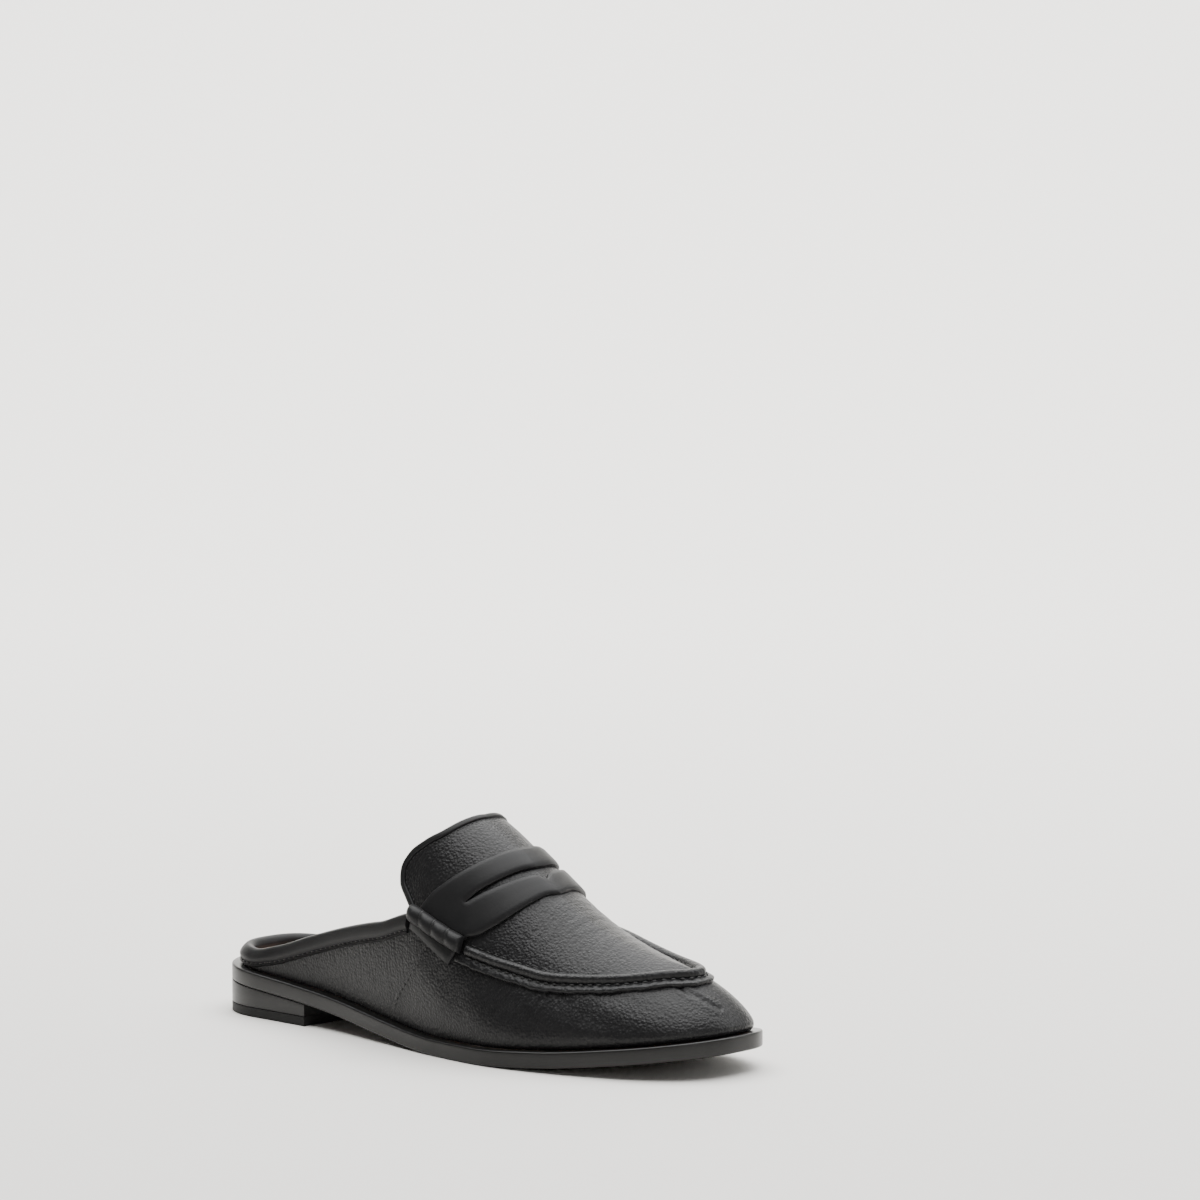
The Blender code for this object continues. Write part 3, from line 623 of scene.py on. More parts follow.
def stitchRow(name, places, length, thick, pitch):
    # Threads laid end to end along a dense run of (point, normal) places.
    points, normals = (np.array(column) for column in zip(*places))
    run = np.concatenate([[0], np.cumsum(np.linalg.norm(np.diff(points, axis=0), axis=1))])
    spots, faces, rings, around = [], [], 5, 7

    def read(table, here):
        return np.array([np.interp(here, run, table[:, i]) for i in range(3)])

    for n in range(int((run[-1] - length) / pitch) + 1):
        faces += tubeFaces(len(spots), rings, around)
        for t in np.linspace(-1, 1, rings):
            here = length / 2 + n * pitch + t * length / 2
            travel = read(points, here + thick) - read(points, here - thick)
            travel /= np.linalg.norm(travel) + 1e-12
            up = read(normals, here)
            up /= np.linalg.norm(up)
            full = math.sqrt(max(1 - abs(t) ** 3, 0.06))
            centre = read(points, here) - up * thick * 0.45 * t * t
            spots += roundRing(centre, np.cross(travel, up), up, thick / 2 * full, around)
    return makePiece(name, spots, faces, thread, None, sharp=60)


# Creases, placed in the shoe's own sizes. Gathers run down the wall from the seam.
gathers = {
    "first": 0.560, "last": 0.905, "pitch": 4.6 * mm, "depth": 0.50 * mm, "width": 1.2 * mm,
    "shortest": 9 * mm, "longest": 27 * mm, "backLean": 0.75, "frontLean": 0.02, "seed": 7,
}
girth = 76 * mm  # half way over the section, which turns rises into lengths
toeCrease = {
    "line": ((0.885, 0.640), (0.905, 0.590), (0.943, 0.520), (0.973, 0.440), (0.992, 0.385)),
    "samples": 60, "depth": 0.5 * mm, "width": 1.5 * mm,
    "lip": 0.28 * mm, "lipPlace": 3.2 * mm, "lipWidth": 2.2 * mm,
}
rolling = 0.22 * mm  # soft unevenness of the vamp
sideSeam = {
    "rises": (0.00, 0.05, 0.22, 0.39, 0.56, 1.00), "stations": (0.447, 0.448, 0.459, 0.476, 0.490, 0.512),
    "overlap": 0.018, "sink": 0.25 * mm, "stitchPlace": 0.0052,
}
apronFolds = {"bow": 9 * mm, "fine": 0.62 * mm, "broad": 1.15 * mm, "swell": 0.5 * mm}


def gatherField(side, a, rise):
    # Height of the gathers on the wall, and the amount by which the leather is creased there.
    drop = np.maximum(seamRise(side, a) - rise, 0) * girth
    run = soleEdge.runAt(side, a)
    start, end = (soleEdge.runAt(side, soleEdge.stationOf(gathers[key])) for key in ("first", "last"))
    rng = np.random.default_rng(gathers["seed"] + side)
    height = np.zeros(run.shape)
    count = int((end - start) / gathers["pitch"])
    for k in range(count):
        share = k / (count - 1)
        where = start + (k + rng.uniform(-0.32, 0.32)) * gathers["pitch"]
        lean = gathers["backLean"] * (1 - share) ** 1.6 + gathers["frontLean"] + rng.uniform(-0.08, 0.08)
        reach = rng.uniform(gathers["shortest"], gathers["longest"]) * (1 - 0.35 * share)
        depth = gathers["depth"] * rng.uniform(0.35, 1.0) * (1 - 0.55 * share**3)
        width = gathers["width"] * rng.uniform(0.8, 1.35)
        wave = 0.6 * mm * np.sin(drop / (5 * mm) + rng.uniform(0, 6.28))
        off = run - (where - lean * drop * (1 + drop / (40 * mm))) + wave
        window = ease(1 * mm, 5 * mm, drop) * (1 - ease(reach * 0.45, reach, drop))
        height += depth * window * (0.45 * bell(off, 2.1 * width) - bell(off, width))
    front = 1 - ease(0.84, 0.95, shareOf(a))
    back = ease(0.47, 0.60, shareOf(a))
    fade = 1 - ease(10 * mm, 34 * mm, drop)
    return height, front * (0.25 + 0.75 * back) * (0.25 + 0.75 * fade)


def creaseField(side, a, rise):
    # All the large creases of the skin, in metres outward.
    share = shareOf(a)
    height, creased = gatherField(side, a, rise)
    if side == lateral:
        stations, rises = zip(*toeCrease["line"])
        knots = np.linspace(0, 1, len(stations))
        dense = np.linspace(0, 1, toeCrease["samples"])
        runs = soleEdge.runAt(lateral, np.interp(dense, knots, stations))
        here = soleEdge.runAt(lateral, a)
        near = np.full(a.shape, 1.0)
        for run, up in zip(runs, np.interp(dense, knots, rises)):
            near = np.minimum(near, np.hypot(here - run, (rise - up) * girth * 0.8))
        height = height - toeCrease["depth"] * bell(near, toeCrease["width"])
        height = height + toeCrease["lip"] * bell(near - toeCrease["lipPlace"], toeCrease["lipWidth"])
    waves = rolling * np.sin(share * 61 + rise * 9 + side) * np.sin(rise * 17 - share * 23)
    waves = waves * ease(0.02, 0.2, rise) * ease(0.46, 0.56, share) * (1 - ease(0.86, 0.97, share))
    return height + waves, creased


def apronField(side, a, rise):
    # Fine folds that cross the apron in front of the strap.
    x = skin.bare(side, a, rise)[..., 0] / shoe["length"]
    window = ease(0.60, 0.68, x) * (1 - ease(0.76, 0.90, x))
    bowed = x * shoe["length"] + apronFolds["bow"] * (1 - rise) ** 2 * side
    folds = np.sin(bowed / apronFolds["fine"] + 1.6 * np.sin(bowed / (3.1 * mm))) * 0.035 * mm
    folds = folds + np.sin(bowed / apronFolds["broad"] + 2.1 * np.sin(rise * 9)) * 0.05 * mm
    seam = seamRise(side, a)
    inward = (rise - seam) / (1 - seam)
    inside = ease(0.0, 0.2, inward)
    swell = apronFolds["swell"] * np.sin(np.clip(inward, 0, 1) * math.pi / 2) * window
    return folds * window * inside + swell * inside, 0.10 + 0.75 * window * (0.3 + 0.7 * inside)


panels = {
    "leather": 0.9 * mm,  # thickness of the outer leather
    "quarterColumns": 96, "vampColumns": 268, "apronColumns": 190, "wallRows": 34, "apronRows": 34,
    "apronCrowding": 1.35, "apronReach": 0.37 * 190,  # columns over which the tongue's edge fades
    "overlap": 0.45 * mm, "overlapFade": 7 * mm,
    "topSwell": 0.4 * mm, "topSwellPlace": 0.30, "topSwellWidth": 0.12,
}
lining = {"quarter": 41, "vamp": 70, "wall": 15, "apron": 18, "crowding": 1.3, "reach": 26, "gap": 0.05 * mm}


def sideSeamStation(share):
    return np.interp(share, sideSeam["rises"], sideSeam["stations"])


def tuckedStation(share):
    # End of the quarter, which runs on under the vamp.
    return sideSeamStation(share) + sideSeam["overlap"]


def wallGrid(side, start, end, columns, rows):
    # Stations and rises of a wall panel between two sloping ends.
    up = np.linspace(0, 1, rows + 1)[:, None]
    along = np.linspace(0, 1, columns + 1)[None, :]
    first, last = start(up), end(up)
    runs = soleEdge.runAt(side, first) + along * (soleEdge.runAt(side, last) - soleEdge.runAt(side, first))
    a = np.interp(runs, soleEdge.run[side], soleEdge.a)
    tops = np.array([topRise(side, row) for row in a])
    return a, up * tops


def makeVamp():
    sheet = Sheet()
    for side in (lateral, medial):
        a, rise = wallGrid(side, sideSeamStation, np.ones_like, panels["vampColumns"], panels["wallRows"])
        height, creased = creaseField(side, a, rise)
        beyond = soleEdge.runAt(side, a) - soleEdge.runAt(side, a[:, :1])
        height = height + panels["overlap"] * (1 - ease(0, panels["overlapFade"], beyond))
        height = height - 0.35 * mm * bell(beyond, 0.5 * mm)
        outer = skin.at(side, a, rise, height)
        inner = skin.at(side, a, rise, np.minimum(height, 0) - panels["leather"] + 0.25 * mm)
        lean = gathers["backLean"] * np.clip((0.9 - shareOf(a)) / 0.34, 0, 1) ** 1.6
        drop = (seamRise(side, a) - rise) * girth
        flow = np.stack([soleEdge.runAt(side, a) + lean * drop * (1 + drop / (40 * mm)), drop, 0 * a], -1)
        sheet.lay(side, outer, inner, flow, creased)
    return sheet.make("vampWall", grain, ["upper"])


def makeQuarter():
    sheet = Sheet()
    for side in (lateral, medial):
        a, rise = wallGrid(side, np.zeros_like, tuckedStation, panels["quarterColumns"], panels["wallRows"])
        rows = np.linspace(0, 1, a.shape[0])[:, None]
        under = ease(-0.004, 0.006, a - sideSeamStation(rows))
        height = creaseField(side, a, rise)[0] * (1 - under) - sideSeam["sink"] * under
        swell = panels["topSwell"] * bell(shareOf(a) - panels["topSwellPlace"], panels["topSwellWidth"])
        height = height + swell * np.sin(np.pi * rows)
        outer = skin.at(side, a, rise, height)
        inner = skin.at(side, a, rise, -panels["leather"])
        flow = np.stack([soleEdge.runAt(side, a) + 0.4 * rise * girth, rise * girth, 0 * a], -1)
        creased = 0.55 * ease(0.10, 0.30, shareOf(a))
        sheet.lay(side, outer, inner, flow, creased)
    return sheet.make("quarterPanel", grain, ["upper"])


def apronGrid(side, columns, rows, crowding, reach):
    # Stations and rises of the apron, whose back edge is the tongue's.
    stations = soleEdge.evenly(throatStation, 1, columns + 1)
    seam = seamRise(side, stations)[None, :]
    rise = seam + (1 - seam) * np.linspace(0, 1, rows + 1)[:, None] ** crowding
    back = np.array([tongueStation(side, one) for one in rise[:, 0]]) - throatStation
    fade = np.clip(1 - np.arange(columns + 1) / reach, 0, 1) ** 1.5
    return stations[None, :] + back[:, None] * fade[None, :], rise


def makeApron():
    sheet = Sheet()
    shape = [panels[key] for key in ("apronColumns", "apronRows", "apronCrowding", "apronReach")]
    for side in (lateral, medial):
        a, rise = apronGrid(side, *shape)
        height, creased = apronField(side, a, rise)
        outer = skin.at(side, a, rise, height)
        inner = skin.at(side, a, rise, -panels["leather"])
        bowed = outer[..., 0] + apronFolds["bow"] * (1 - rise) ** 2
        flow = np.stack([bowed, outer[..., 1], 0 * a], -1)
        sheet.lay(side, outer, inner, flow, creased)
    return sheet.make("apronAndTongue", grain, ["upper"])


def makeLining():
    sheet = Sheet()
    high, low = -panels["leather"] - lining["gap"], -shoe["wall"]
    wall = np.linspace(0, 1, lining["wall"])[:, None]
    for side in (lateral, medial):
        quarter = soleEdge.evenly(0, throatStation, lining["quarter"])
        vamp = soleEdge.evenly(throatStation, 1, lining["vamp"] + 1)
        grids = (
            np.broadcast_arrays(quarter[None, :], wall * toplineRise(side, quarter)[None, :]),
            np.broadcast_arrays(vamp[None, :], wall * seamRise(side, vamp)[None, :]),
            apronGrid(side, lining["vamp"], lining["apron"], lining["crowding"], lining["reach"]),
        )
        for a, rise in grids:
            outer, inner = skin.at(side, a, rise, high), skin.at(side, a, rise, low)
            sheet.lay(side, outer, inner, np.stack([a, rise, 0 * a], -1), 0 * a)
    return sheet.make("lining", nude, ["upper"])


makeVamp()
makeQuarter()
makeApron()
makeLining()
print("upper laid: vamp, quarter, apron and lining")

strap = {
    "thickness": 1.6 * mm, "edgeRound": 1.1 * mm, "rows": 64, "columns": 14,
    "notchRise": 0.955, "notchWidth": 0.010, "notchDepth": 0.0045,
}


def makeStrap():
    sheet = Sheet()
    table = np.asarray(strapRows)
    rises = np.linspace(strapRows[0][0], 1.0, strap["rows"] + 1)
    half = strap["columns"] // 2
    ramp = (1 - np.cos(np.linspace(0, math.pi, half + 1))) / 2
    for side in (lateral, medial):
        stations, climbs, rounds = [], [], []
        for rise in rises:
            back, front, slotBack, slotFront = (float(readRows(table, rise, k)) for k in (1, 2, 3, 4))
            slotWidth = max(slotFront - slotBack - 0.0008, 0)
            if slotWidth == 0:
                slotBack = slotFront = (slotBack + slotFront) / 2
            elif side == lateral:
                slotFront += strap["notchDepth"] * bell(rise - strap["notchRise"], strap["notchWidth"])
            places = np.concatenate([back + (slotBack - back) * ramp, slotFront + (front - slotFront) * ramp])
            moved = [carriedOver(side, place, rise) for place in places]
            stations.append([skin.stationAt(side, place, one) for place, one in zip(places, moved)])
            climbs.append(moved)
            fromEdge = np.minimum(places - back, front - places) * shoe["length"]
            if slotWidth > 0:
                inner = np.minimum(np.abs(places - slotBack), np.abs(places - slotFront)) * shoe["length"]
                fromEdge = np.minimum(fromEdge, inner)
            rounds.append(1 - 0.5 * (1 - np.clip(fromEdge / strap["edgeRound"], 0, 1)) ** 2)
        a, rise, rounds = np.array(stations), np.array(climbs), np.array(rounds)
        end = ease(-0.001, 0.02, rises - rises[0])[:, None]
        rounds = rounds * (0.55 + 0.45 * end)
        outer = skin.at(side, a, rise, shoe["skinGap"] + strap["thickness"] * rounds)
        inner = skin.at(side, a, rise, 0.1 * mm)
        sheet.lay(side, outer, inner, np.zeros(outer.shape), np.zeros(a.shape), skip=(half,))
    return sheet.make("saddleStrap", smooth, ["saddle_strap"])


makeStrap()
print("strap laid")

seamRoll = {
    "start": 0.590, "width": 4.4 * mm, "height": 3.1 * mm, "stations": 300, "around": 15,
    "pucker": 0.30 * mm, "puckerPitch": 3.7 * mm,
    "flangeStart": 0.574, "flangeWidth": 3.8 * mm, "flangeThickness": 1.3 * mm,
}


def seamPath(first, count):
    stations = soleEdge.evenly(soleEdge.stationOf(first), 1, count)
    path = [(lateral, a, float(seamRise(lateral, a))) for a in stations]
    return path + [(medial, a, float(seamRise(medial, a))) for a in stations[-2::-1]]


def pathRun(path):
    spots = np.array([skin.at(side, a, rise) for side, a, rise in path])
    return np.concatenate([[0], np.cumsum(np.linalg.norm(np.diff(spots, axis=0), axis=1))])


def sideRings(path, profiles):
    # Rings along a path; each profile is rows of (distance over the section, distance out).
    rings = []
    for (side, a, rise), profile in zip(path, profiles):
        over, out = np.array(profile).T
        there = skin.step(side, np.full(len(over), a), np.full(len(over), rise), over)
        rings.append(skin.at(side, np.full(len(over), a), np.clip(there, 0, 1), out))
    return rings


def makeSeamRoll():
    path = seamPath(seamRoll["start"], seamRoll["stations"])
    run = pathRun(path)
    profiles = []
    for here in run:
        beat = 0.5 + 0.5 * math.cos(2 * math.pi * here / seamRoll["puckerPitch"])
        tip = ease(0, 4 * mm, here) * ease(0, 4 * mm, run[-1] - here)
        ring = []
        for k in range(seamRoll["around"]):
            t = math.pi * k / (seamRoll["around"] - 1)
            low = max(math.cos(t), 0) ** 1.5
            high = max(-math.cos(t), 0) ** 2
            sink = seamRoll["pucker"] * beat * (low * 1.5 + high * 0.9) * math.sin(t) ** 0.5
            out = seamRoll["height"] * (0.75 + 0.25 * tip) * math.sin(t) ** 0.8 - sink
            ring.append((-seamRoll["width"] / 2 * math.cos(t), out))
        profiles.append(ring)
    return sweep("seamRoll", sideRings(path, profiles), grain, ["seam_roll"], 0.25, 50)


def makeFlange():
    path = seamPath(seamRoll["flangeStart"], seamRoll["stations"])
    run = pathRun(path)
    profiles = []
    thick = seamRoll["flangeThickness"]
    for here in run:
        wave = 0.16 * mm * math.sin(here / (2.3 * mm)) + 0.12 * mm * math.sin(here / (0.9 * mm))
        top = -seamRoll["width"] / 2 + 0.5 * mm
        low = -seamRoll["width"] / 2 - seamRoll["flangeWidth"] + wave
        outs = (0.0, 0.55, 0.9, 1.0, 0.97, 0.9, 0.78, 0.6, 0.45, 0.0)
        overs = (0, 0, 0.06, 0.14, 0.30, 0.5, 0.66, 0.82, 1.0, 1.0)
        dent = 0.25 * mm * (0.5 + 0.5 * math.cos(2 * math.pi * here / seamRoll["puckerPitch"]))
        ring = []
        for over, out in zip(overs, outs):
            sink = dent * bell(over - 0.62, 0.2) if 0 < out else 0
            ring.append((low + (top - low) * over, out * (thick + shoe["skinGap"]) - sink))
        profiles.append(ring)
    return sweep("seamFlange", sideRings(path, profiles), grain, ["seam_flange"], 0.35, 50)


def skinRun(path, over, out):
    # Dense places beside a path, for thread.
    places = []
    for side, a, rise in path:
        there = float(np.clip(skin.step(side, a, rise, over), 0, 1))
        places.append((skin.at(side, a, there, out), skin.normal(side, a, there)))
    return places


makeSeamRoll()
makeFlange()
rollPath = seamPath(seamRoll["start"] + 0.005, 220)
stitchRow("apronStitches", skinRun(rollPath, seamRoll["width"] / 2 + 0.35 * mm, 0.25 * mm),
          2.5 * mm, 0.75 * mm, seamRoll["puckerPitch"])
stitchRow("wallStitches", skinRun(rollPath, -seamRoll["width"] / 2 - 0.55 * mm, 1.35 * mm),
          2.6 * mm, 0.8 * mm, seamRoll["puckerPitch"])
print("seam roll, flange and their stitches laid")

beefRoll = {
    "back": 0.474, "front": 0.584, "width": 7.4 * mm, "height": 4.2 * mm, "lobes": 4, "steps": 16,
    "groove": 0.66, "end": 0.55, "shift": 0.012, "around": 17, "cord": 0.85 * mm, "cordAround": 8,
}


def makeBeefRoll(side, name):
    count = beefRoll["lobes"] * beefRoll["steps"] + 1
    first, last = (float(soleEdge.stationOf(beefRoll[key])) for key in ("back", "front"))
    stations = soleEdge.evenly(first, last, count)
    base = shoe["skinGap"] + strap["thickness"]
    profiles, path = [], []
    for n, a in enumerate(stations):
        lobe = abs(math.sin(math.pi * n / beefRoll["steps"])) ** 0.55
        swell = beefRoll["groove"] + (1 - beefRoll["groove"]) * lobe
        if n in (0, count - 1):
            swell = beefRoll["end"]
        ring = []
        for k in range(beefRoll["around"]):
            t = math.pi * k / (beefRoll["around"] - 1)
            out = base + beefRoll["height"] * swell * math.sin(t) ** 0.8
            ring.append((-beefRoll["width"] / 2 * (0.75 + 0.25 * swell) * math.cos(t), out))
        profiles.append(ring)
        path.append((side, a, float(seamRise(side, a)) + beefRoll["shift"]))
    rings = sideRings(path, profiles)
    sweep("beefRoll" + name, rings, smooth, ["beef_roll_" + name.lower()])
    spots, faces, around = [], [], beefRoll["cordAround"]
    for n in range(beefRoll["steps"], count - 1, beefRoll["steps"]):
        line = np.array(rings[n])[1:-1]
        travel = np.array(rings[n + 1]).mean(0) - np.array(rings[n - 1]).mean(0)
        travel /= np.linalg.norm(travel)
        faces += tubeFaces(len(spots), len(line), around)
        for k, centre in enumerate(line):
            ahead = line[min(k + 1, len(line) - 1)] - line[max(k - 1, 0)]
            up = np.cross(ahead / np.linalg.norm(ahead), travel)
            spots += roundRing(centre, travel, up, beefRoll["cord"] / 2, around)
    makePiece("beefRollThread" + name, spots, faces, thread, None, sharp=60)


makeBeefRoll(lateral, "Lateral")
makeBeefRoll(medial, "Medial")
print("beef rolls bound")

binding = {
    "end": 0.462, "stations": 150, "width": 6.5 * mm, "inside": 5.0 * mm, "thickness": 1.35 * mm,
    "lip": 1.3 * mm, "lipRise": 3.2 * mm, "groove": 0.5 * mm, "grooveWidth": 0.45 * mm, "pad": 0.25 * mm,
    "stitch": 2.3 * mm, "thread": 0.62 * mm, "pitch": 3.0 * mm,
}


def bindingPath():
    stations = soleEdge.evenly(0, float(soleEdge.stationOf(binding["end"])), binding["stations"])
    return [(lateral, a) for a in stations[::-1]] + [(medial, a) for a in stations[1:]]


def bindingEdges(side, a):
    # Rises of the topline, and of the strip's lower edge outside and inside.
    top = float(toplineRise(side, a)[0])
    foot = skin.bare(side, a, np.array(0.0))[2]
    lowest = skin.riseAtHeight(side, [a, a], [foot + shoe["gap"], foot + 5.3 * mm])
    outside = max(float(skin.step(side, a, top, -binding["width"])), lowest[0])
    inside = max(float(skin.step(side, a, top, -binding["inside"])), lowest[1])
    return top, outside, inside


def makeBinding():
    rings, stitches = [], []
    thick, wall = binding["thickness"], shoe["wall"]
    crest = wall / 2 + shoe["skinGap"] + thick
    for side, a in bindingPath():
        top, outside, inside = bindingEdges(side, a)
        wide = np.linalg.norm(skin.at(side, a, top) - skin.at(side, a, outside))
        ring = [(outside, 0.05 * mm)]
        for t in np.linspace(0, 1, 16):
            distance = t * wide
            lip = 0.55 + 0.45 * ease(0, 0.5 * mm, distance)
            along = min(max((distance - binding["lip"]) / (wide - binding["lip"]), 0), 1)
            pad = binding["pad"] * math.sin(math.pi * along)
            body = ease(binding["lip"], binding["lipRise"], distance)
            out = (shoe["skinGap"] + thick * 0.62) * lip + (thick * 0.38 + pad) * body
            out -= binding["groove"] * bell(distance - binding["lip"], binding["grooveWidth"])
            ring.append((outside + (top - outside) * t, out))
        for t in np.linspace(0.12, 0.88, 7):
            turn = math.pi * t
            above = float(skin.step(side, a, top, crest * math.sin(turn) * 0.75))
            ring.append((above, -wall / 2 + crest * math.cos(turn)))
        for t in np.linspace(0, 1, 5):
            ring.append((top + (inside - top) * t, -wall - shoe["skinGap"] - thick * (1 - 0.25 * t)))
        ring.append((inside, -wall - 0.1 * mm))
        ring.append((top, -wall - 0.1 * mm))
        ring.append((top, 0.05 * mm))
        rises, outs = np.array(ring).T
        rings.append(skin.at(side, np.full(len(rises), a), rises, outs))
        line = float(skin.step(side, a, outside, binding["lip"]))
        stitches.append((skin.at(side, a, line, 1.0 * mm), skin.normal(side, a, line)))
    sweep("collarBinding", rings, smooth, ["collar_binding"])
    stitchRow("collarStitches", stitches, binding["stitch"],
              binding["thread"], binding["pitch"])


makeBinding()
print("collar bound")

tape = {"width": 1.8 * mm, "thickness": 0.6 * mm, "rises": 60, "stitchInset": 2.6 * mm}


def makeTape():
    path = []
    for side in (lateral, medial):
        start = float(seamRise(side, throatStation))
        rises = start + (1 - start) * np.linspace(0.03, 1, tape["rises"]) ** 1.3
        half = [(side, tongueStation(side, rise), rise) for rise in rises]
        path += half if side == lateral else half[-2::-1]
    wall, thick, width, gap = shoe["wall"], tape["thickness"], tape["width"], 0.1 * mm
    centres = np.array([skin.at(side, a, rise, -wall / 2) for side, a, rise in path])
    rings, stitches = [], []
    for n, (side, a, rise) in enumerate(path):
        travel = centres[min(n + 2, len(path) - 1)] - centres[max(n - 2, 0)]
        travel /= np.linalg.norm(travel)
        normal = skin.normal(side, a, rise)
        away = np.cross(normal, travel)
        away /= np.linalg.norm(away)
        if np.dot(away, (-1, 0, 0.4)) < 0:
            away = -away
        half = wall / 2 + gap + thick
        ring = [(-width, wall / 2), (-width, half - 0.2 * mm), (-width + 0.3 * mm, half)]
        ring += [(gap + half * 0.75 * math.sin(t), half * math.cos(t)) for t in np.linspace(0, math.pi, 9)]
        ring += [(-width, -half), (-width, -wall / 2), (0.05 * mm, -wall / 2), (0.05 * mm, wall / 2)]
        rings.append([centres[n] + away * over + normal * out for over, out in ring])
        stitches.append((centres[n] - away * tape["stitchInset"] + normal * (wall / 2 + 0.02 * mm), normal))
    sweep("tongueTape", rings, smooth, ["tongue_edge_tape"])
    stitchRow("tongueStitches", stitches, 1.5 * mm, 0.45 * mm, 2.2 * mm)


makeTape()


def sideSeamStitches(side, name):
    places = []
    for share in np.linspace(0.12, 0.93, 60):
        a = float(sideSeamStation(share)) + sideSeam["stitchPlace"]
        rise = share * float(topRise(side, np.array([a]))[0])
        places.append((skin.at(side, a, rise, 0.42 * mm), skin.normal(side, a, rise)))
    stitchRow("sideSeamStitches" + name, places, 2.0 * mm, 0.55 * mm, 2.9 * mm)


sideSeamStitches(lateral, "Lateral")
sideSeamStitches(medial, "Medial")
print("tongue tape and side seams sewn")


def makeSlab(name, stations, rows, finish, replaced, closeFront=False):
    # A flat-lying piece cut to the sole's edge; rows are (inset, height function) from below to above.
    points, rings = [], []
    for inset, height in rows:
        ring = {}
        for side in (lateral, medial):
            plan = soleEdge.at(side, stations, inset)
            if closeFront:
                plan[-1, 0] = shoe["breast"]
            ring[side] = []
            for n, (x, y) in enumerate(plan):
                tip = n == 0 or (n == len(stations) - 1 and not closeFront)
                if tip and side == medial:
                    ring[side].append(ring[lateral][n])
                    continue
                points.append((x, y, float(height(x))))
                ring[side].append(len(points) - 1)
        rings.append(ring)
    faces, last = [], len(stations) - 1
    for n in range(last):
        for ring in (rings[0], rings[-1]):
            loop = [ring[lateral][n], ring[lateral][n + 1], ring[medial][n + 1], ring[medial][n]]
            faces.append([k for i, k in enumerate(loop) if k != loop[i - 1]])
        for low, high in zip(rings, rings[1:]):
            for side in (lateral, medial):
                faces.append((low[side][n], low[side][n + 1], high[side][n + 1], high[side][n]))
    if closeFront:
        for low, high in zip(rings, rings[1:]):
            faces.append((low[lateral][last], low[medial][last], high[medial][last], high[lateral][last]))
    return makePiece(name, points, faces, finish, replaced, sharp=40)


sole = {"stations": 260, "round": 0.8 * mm, "heelStations": 80, "heelRound": 0.35 * mm}
insole = {
    "stations": 160, "thickness": 2.4 * mm, "clearance": 0.4 * mm,
    "side": 0.6 * mm, "dish": 0.5 * mm, "slope": 14 * mm,
}


def roundRows(low, high, r, bulge=0.0):
    # Rows of a slab whose two edges are rounded by r.
    turns = np.linspace(0, math.pi / 2, 5)
    rows = [(r * (1 - math.sin(t)), lambda x, t=t: low(x) + r * (1 - math.cos(t))) for t in turns]
    if bulge:
        rows.append((-bulge, lambda x: (low(x) + high(x)) / 2))
    rows += [(r * (1 - math.cos(t)), lambda x, t=t: high(x) - r * (1 - math.sin(t))) for t in turns]
    return rows


def makeSole():
    stations = soleEdge.evenly(0, 1, sole["stations"])
    rows = roundRows(soleBottom, soleTop, sole["round"])
    makeSlab("outsole_edge", stations, rows, inked, ["outsole"])
    front = float(soleEdge.stationOf(shoe["breast"] / shoe["length"]))
    heelStations = soleEdge.evenly(0, front, sole["heelStations"])
    lift = shoe["liftThickness"]
    r = sole["heelRound"]
    blockRows = roundRows(lambda x: lift + 0.12 * mm, lambda x: soleBottom(x) - 0.05 * mm, r)
    makeSlab("heelBlock", heelStations, blockRows, inked, ["heel_block"], closeFront=True)
    liftRows = roundRows(lambda x: 0.0, lambda x: lift, r)
    makeSlab("heelLift", heelStations, liftRows, rubber, ["heel_lift"], closeFront=True)


def makeInsole():
    stations = soleEdge.evenly(0, 1, insole["stations"])
    inset = shoe["ledge"] + shoe["tuck"] + shoe["wall"] + insole["clearance"]
    rows = [(inset, lambda x: soleTop(x) + 0.1 * mm)]
    for t in np.linspace(0, 1, 9):
        high = insole["thickness"] - insole["side"] * (1 - t) ** 3 - insole["dish"] * t
        rows.append((inset + insole["slope"] * t**1.5, lambda x, high=high: soleTop(x) + high))
    makeSlab("sockInsole", stations, rows, nude, ["insole"])


makeSole()
makeInsole()
print("sole, heel and insole made")

stage = {"halfWidth": 6.0, "front": 3.0, "back": 3.2, "sweep": 1.6, "height": 3.5}


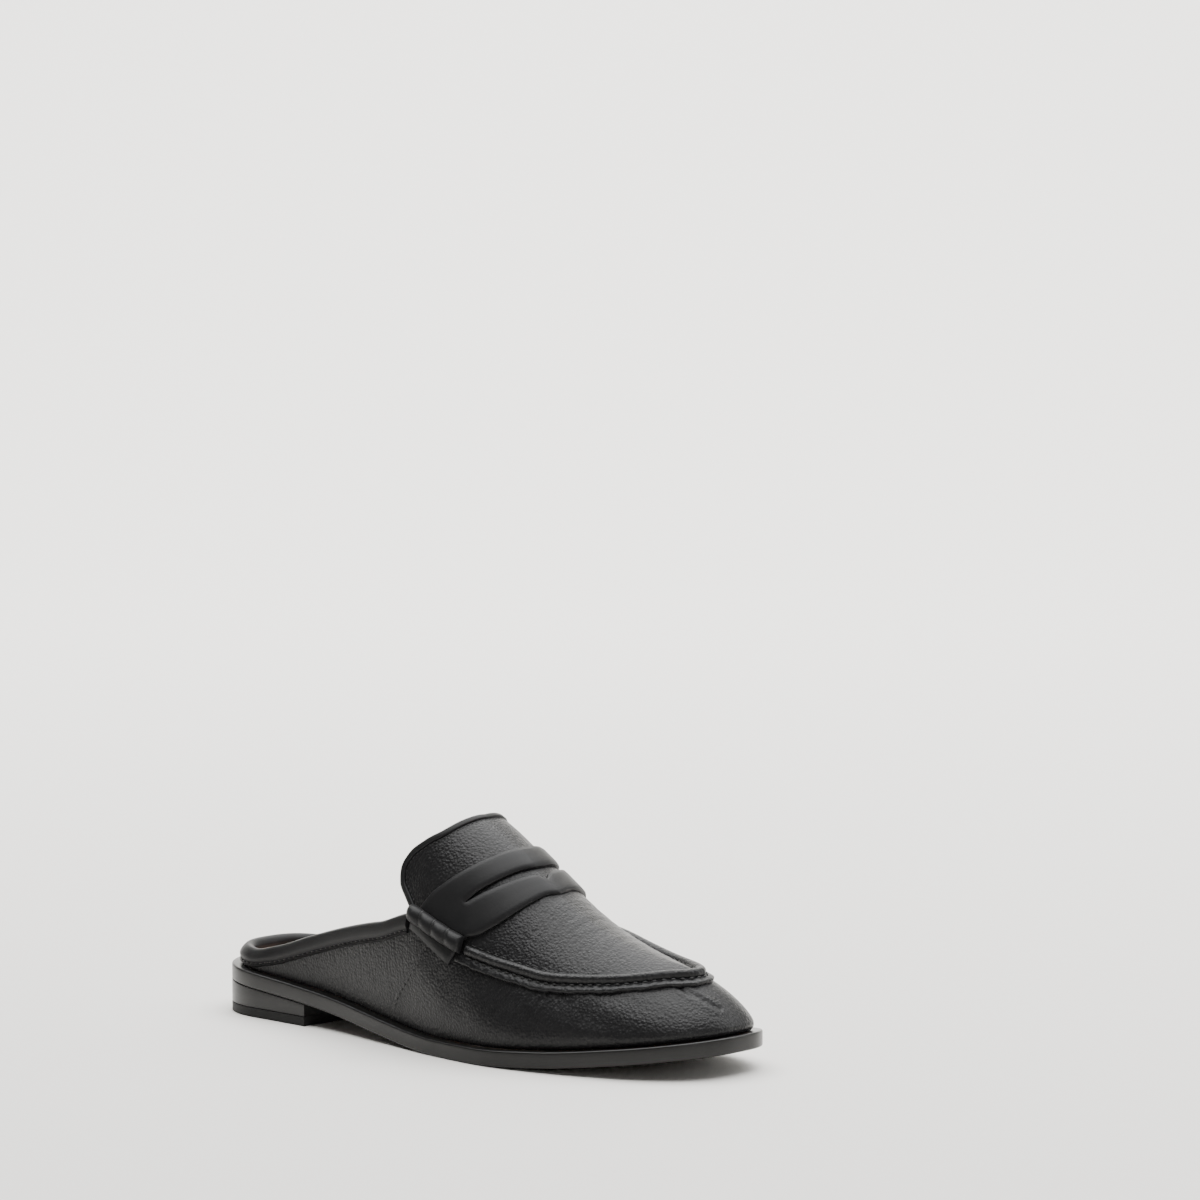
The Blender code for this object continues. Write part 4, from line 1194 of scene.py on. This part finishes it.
def makeStage():
    colour = (*finishes["floor"]["colour"], 1)
    floor = Finish("paleFloor", Base_Color=colour, Roughness=0.9, Specular_IOR_Level=0.2)
    away = Vector((-0.6745, 0.7383, 0))
    aside = Vector((0.7383, 0.6745, 0))
    profile = [(-stage["front"], 0.0), (stage["back"] - stage["sweep"], 0.0)]
    for k in range(1, 25):
        t = math.pi / 2 * k / 24
        far, up = 1 - math.sin(t), 1 - math.cos(t)
        profile.append((stage["back"] - stage["sweep"] * far, stage["sweep"] * up))
    profile.append((stage["back"], stage["height"]))
    edges = (-stage["halfWidth"], stage["halfWidth"])
    points = [away * d + aside * s + Vector((0, 0, z)) for d, z in profile for s in edges]
    faces = [(2 * n, 2 * n + 1, 2 * n + 3, 2 * n + 2) for n in range(len(profile) - 1)]
    mesh = bpy.data.meshes.new("stageSweep")
    mesh.from_pydata([tuple(p) for p in points], [], faces)
    mesh.materials.append(floor.material)
    mesh.shade_smooth()
    sweepObject = bpy.data.objects.new("stageSweep", mesh)
    bpy.context.scene.collection.objects.link(sweepObject)


# Each light: place and aim in metres, size, power in watts.
lights = {
    "overhead": {"place": (-0.2, 0.5, 2.4), "aim": (-0.2, 0.5, 0.0), "size": (3.6, 3.6), "power": 235},
    "backdropWash": {"place": (-1.0, 1.2, 2.2), "aim": (-2.3, 2.5, 0.6), "size": (4.0, 1.0), "power": 120},
    "farRight": {"place": (0.80, 1.0, 0.70), "aim": (0.05, 0.0, 0.04), "size": (0.6, 0.9), "power": 6},
    "front": {"place": (1.1, -0.5, 0.35), "aim": (0.05, 0.0, 0.02), "size": (0.6, 0.25), "power": 1.5},
}


def makeLights():
    for name, look in lights.items():
        data = bpy.data.lights.new(name, "AREA")
        data.shape, data.size, data.size_y = "RECTANGLE", *look["size"]
        data.energy = look["power"]
        lamp = bpy.data.objects.new(name, data)
        lamp.location = look["place"]
        aim = Vector(look["aim"]) - Vector(look["place"])
        lamp.rotation_euler = aim.to_track_quat("-Z", "Y").to_euler()
        bpy.context.scene.collection.objects.link(lamp)
    world = bpy.data.worlds.new("studio")
    world.use_nodes = True
    world.node_tree.nodes["Background"].inputs["Color"].default_value = (1.0, 0.985, 0.95, 1)
    world.node_tree.nodes["Background"].inputs["Strength"].default_value = 0.16
    bpy.context.scene.world = world


# The camera that the photograph was taken with, solved from the sole's own edges.
camera = {"place": (1.4946, -1.56535, 0.3970), "aim": (-0.67113, 0.73450, -0.10046), "lens": 162.5}


def makeCamera():
    data = bpy.data.cameras.new("camera")
    data.lens, data.sensor_width = camera["lens"], 36.0
    data.clip_start, data.clip_end = 0.05, 50
    eye = bpy.data.objects.new("camera", data)
    eye.location = camera["place"]
    eye.rotation_euler = Vector(camera["aim"]).to_track_quat("-Z", "Y").to_euler()
    bpy.context.scene.collection.objects.link(eye)
    bpy.context.scene.camera = eye


makeStage()
makeLights()
makeCamera()
print("stage, lights and camera set")
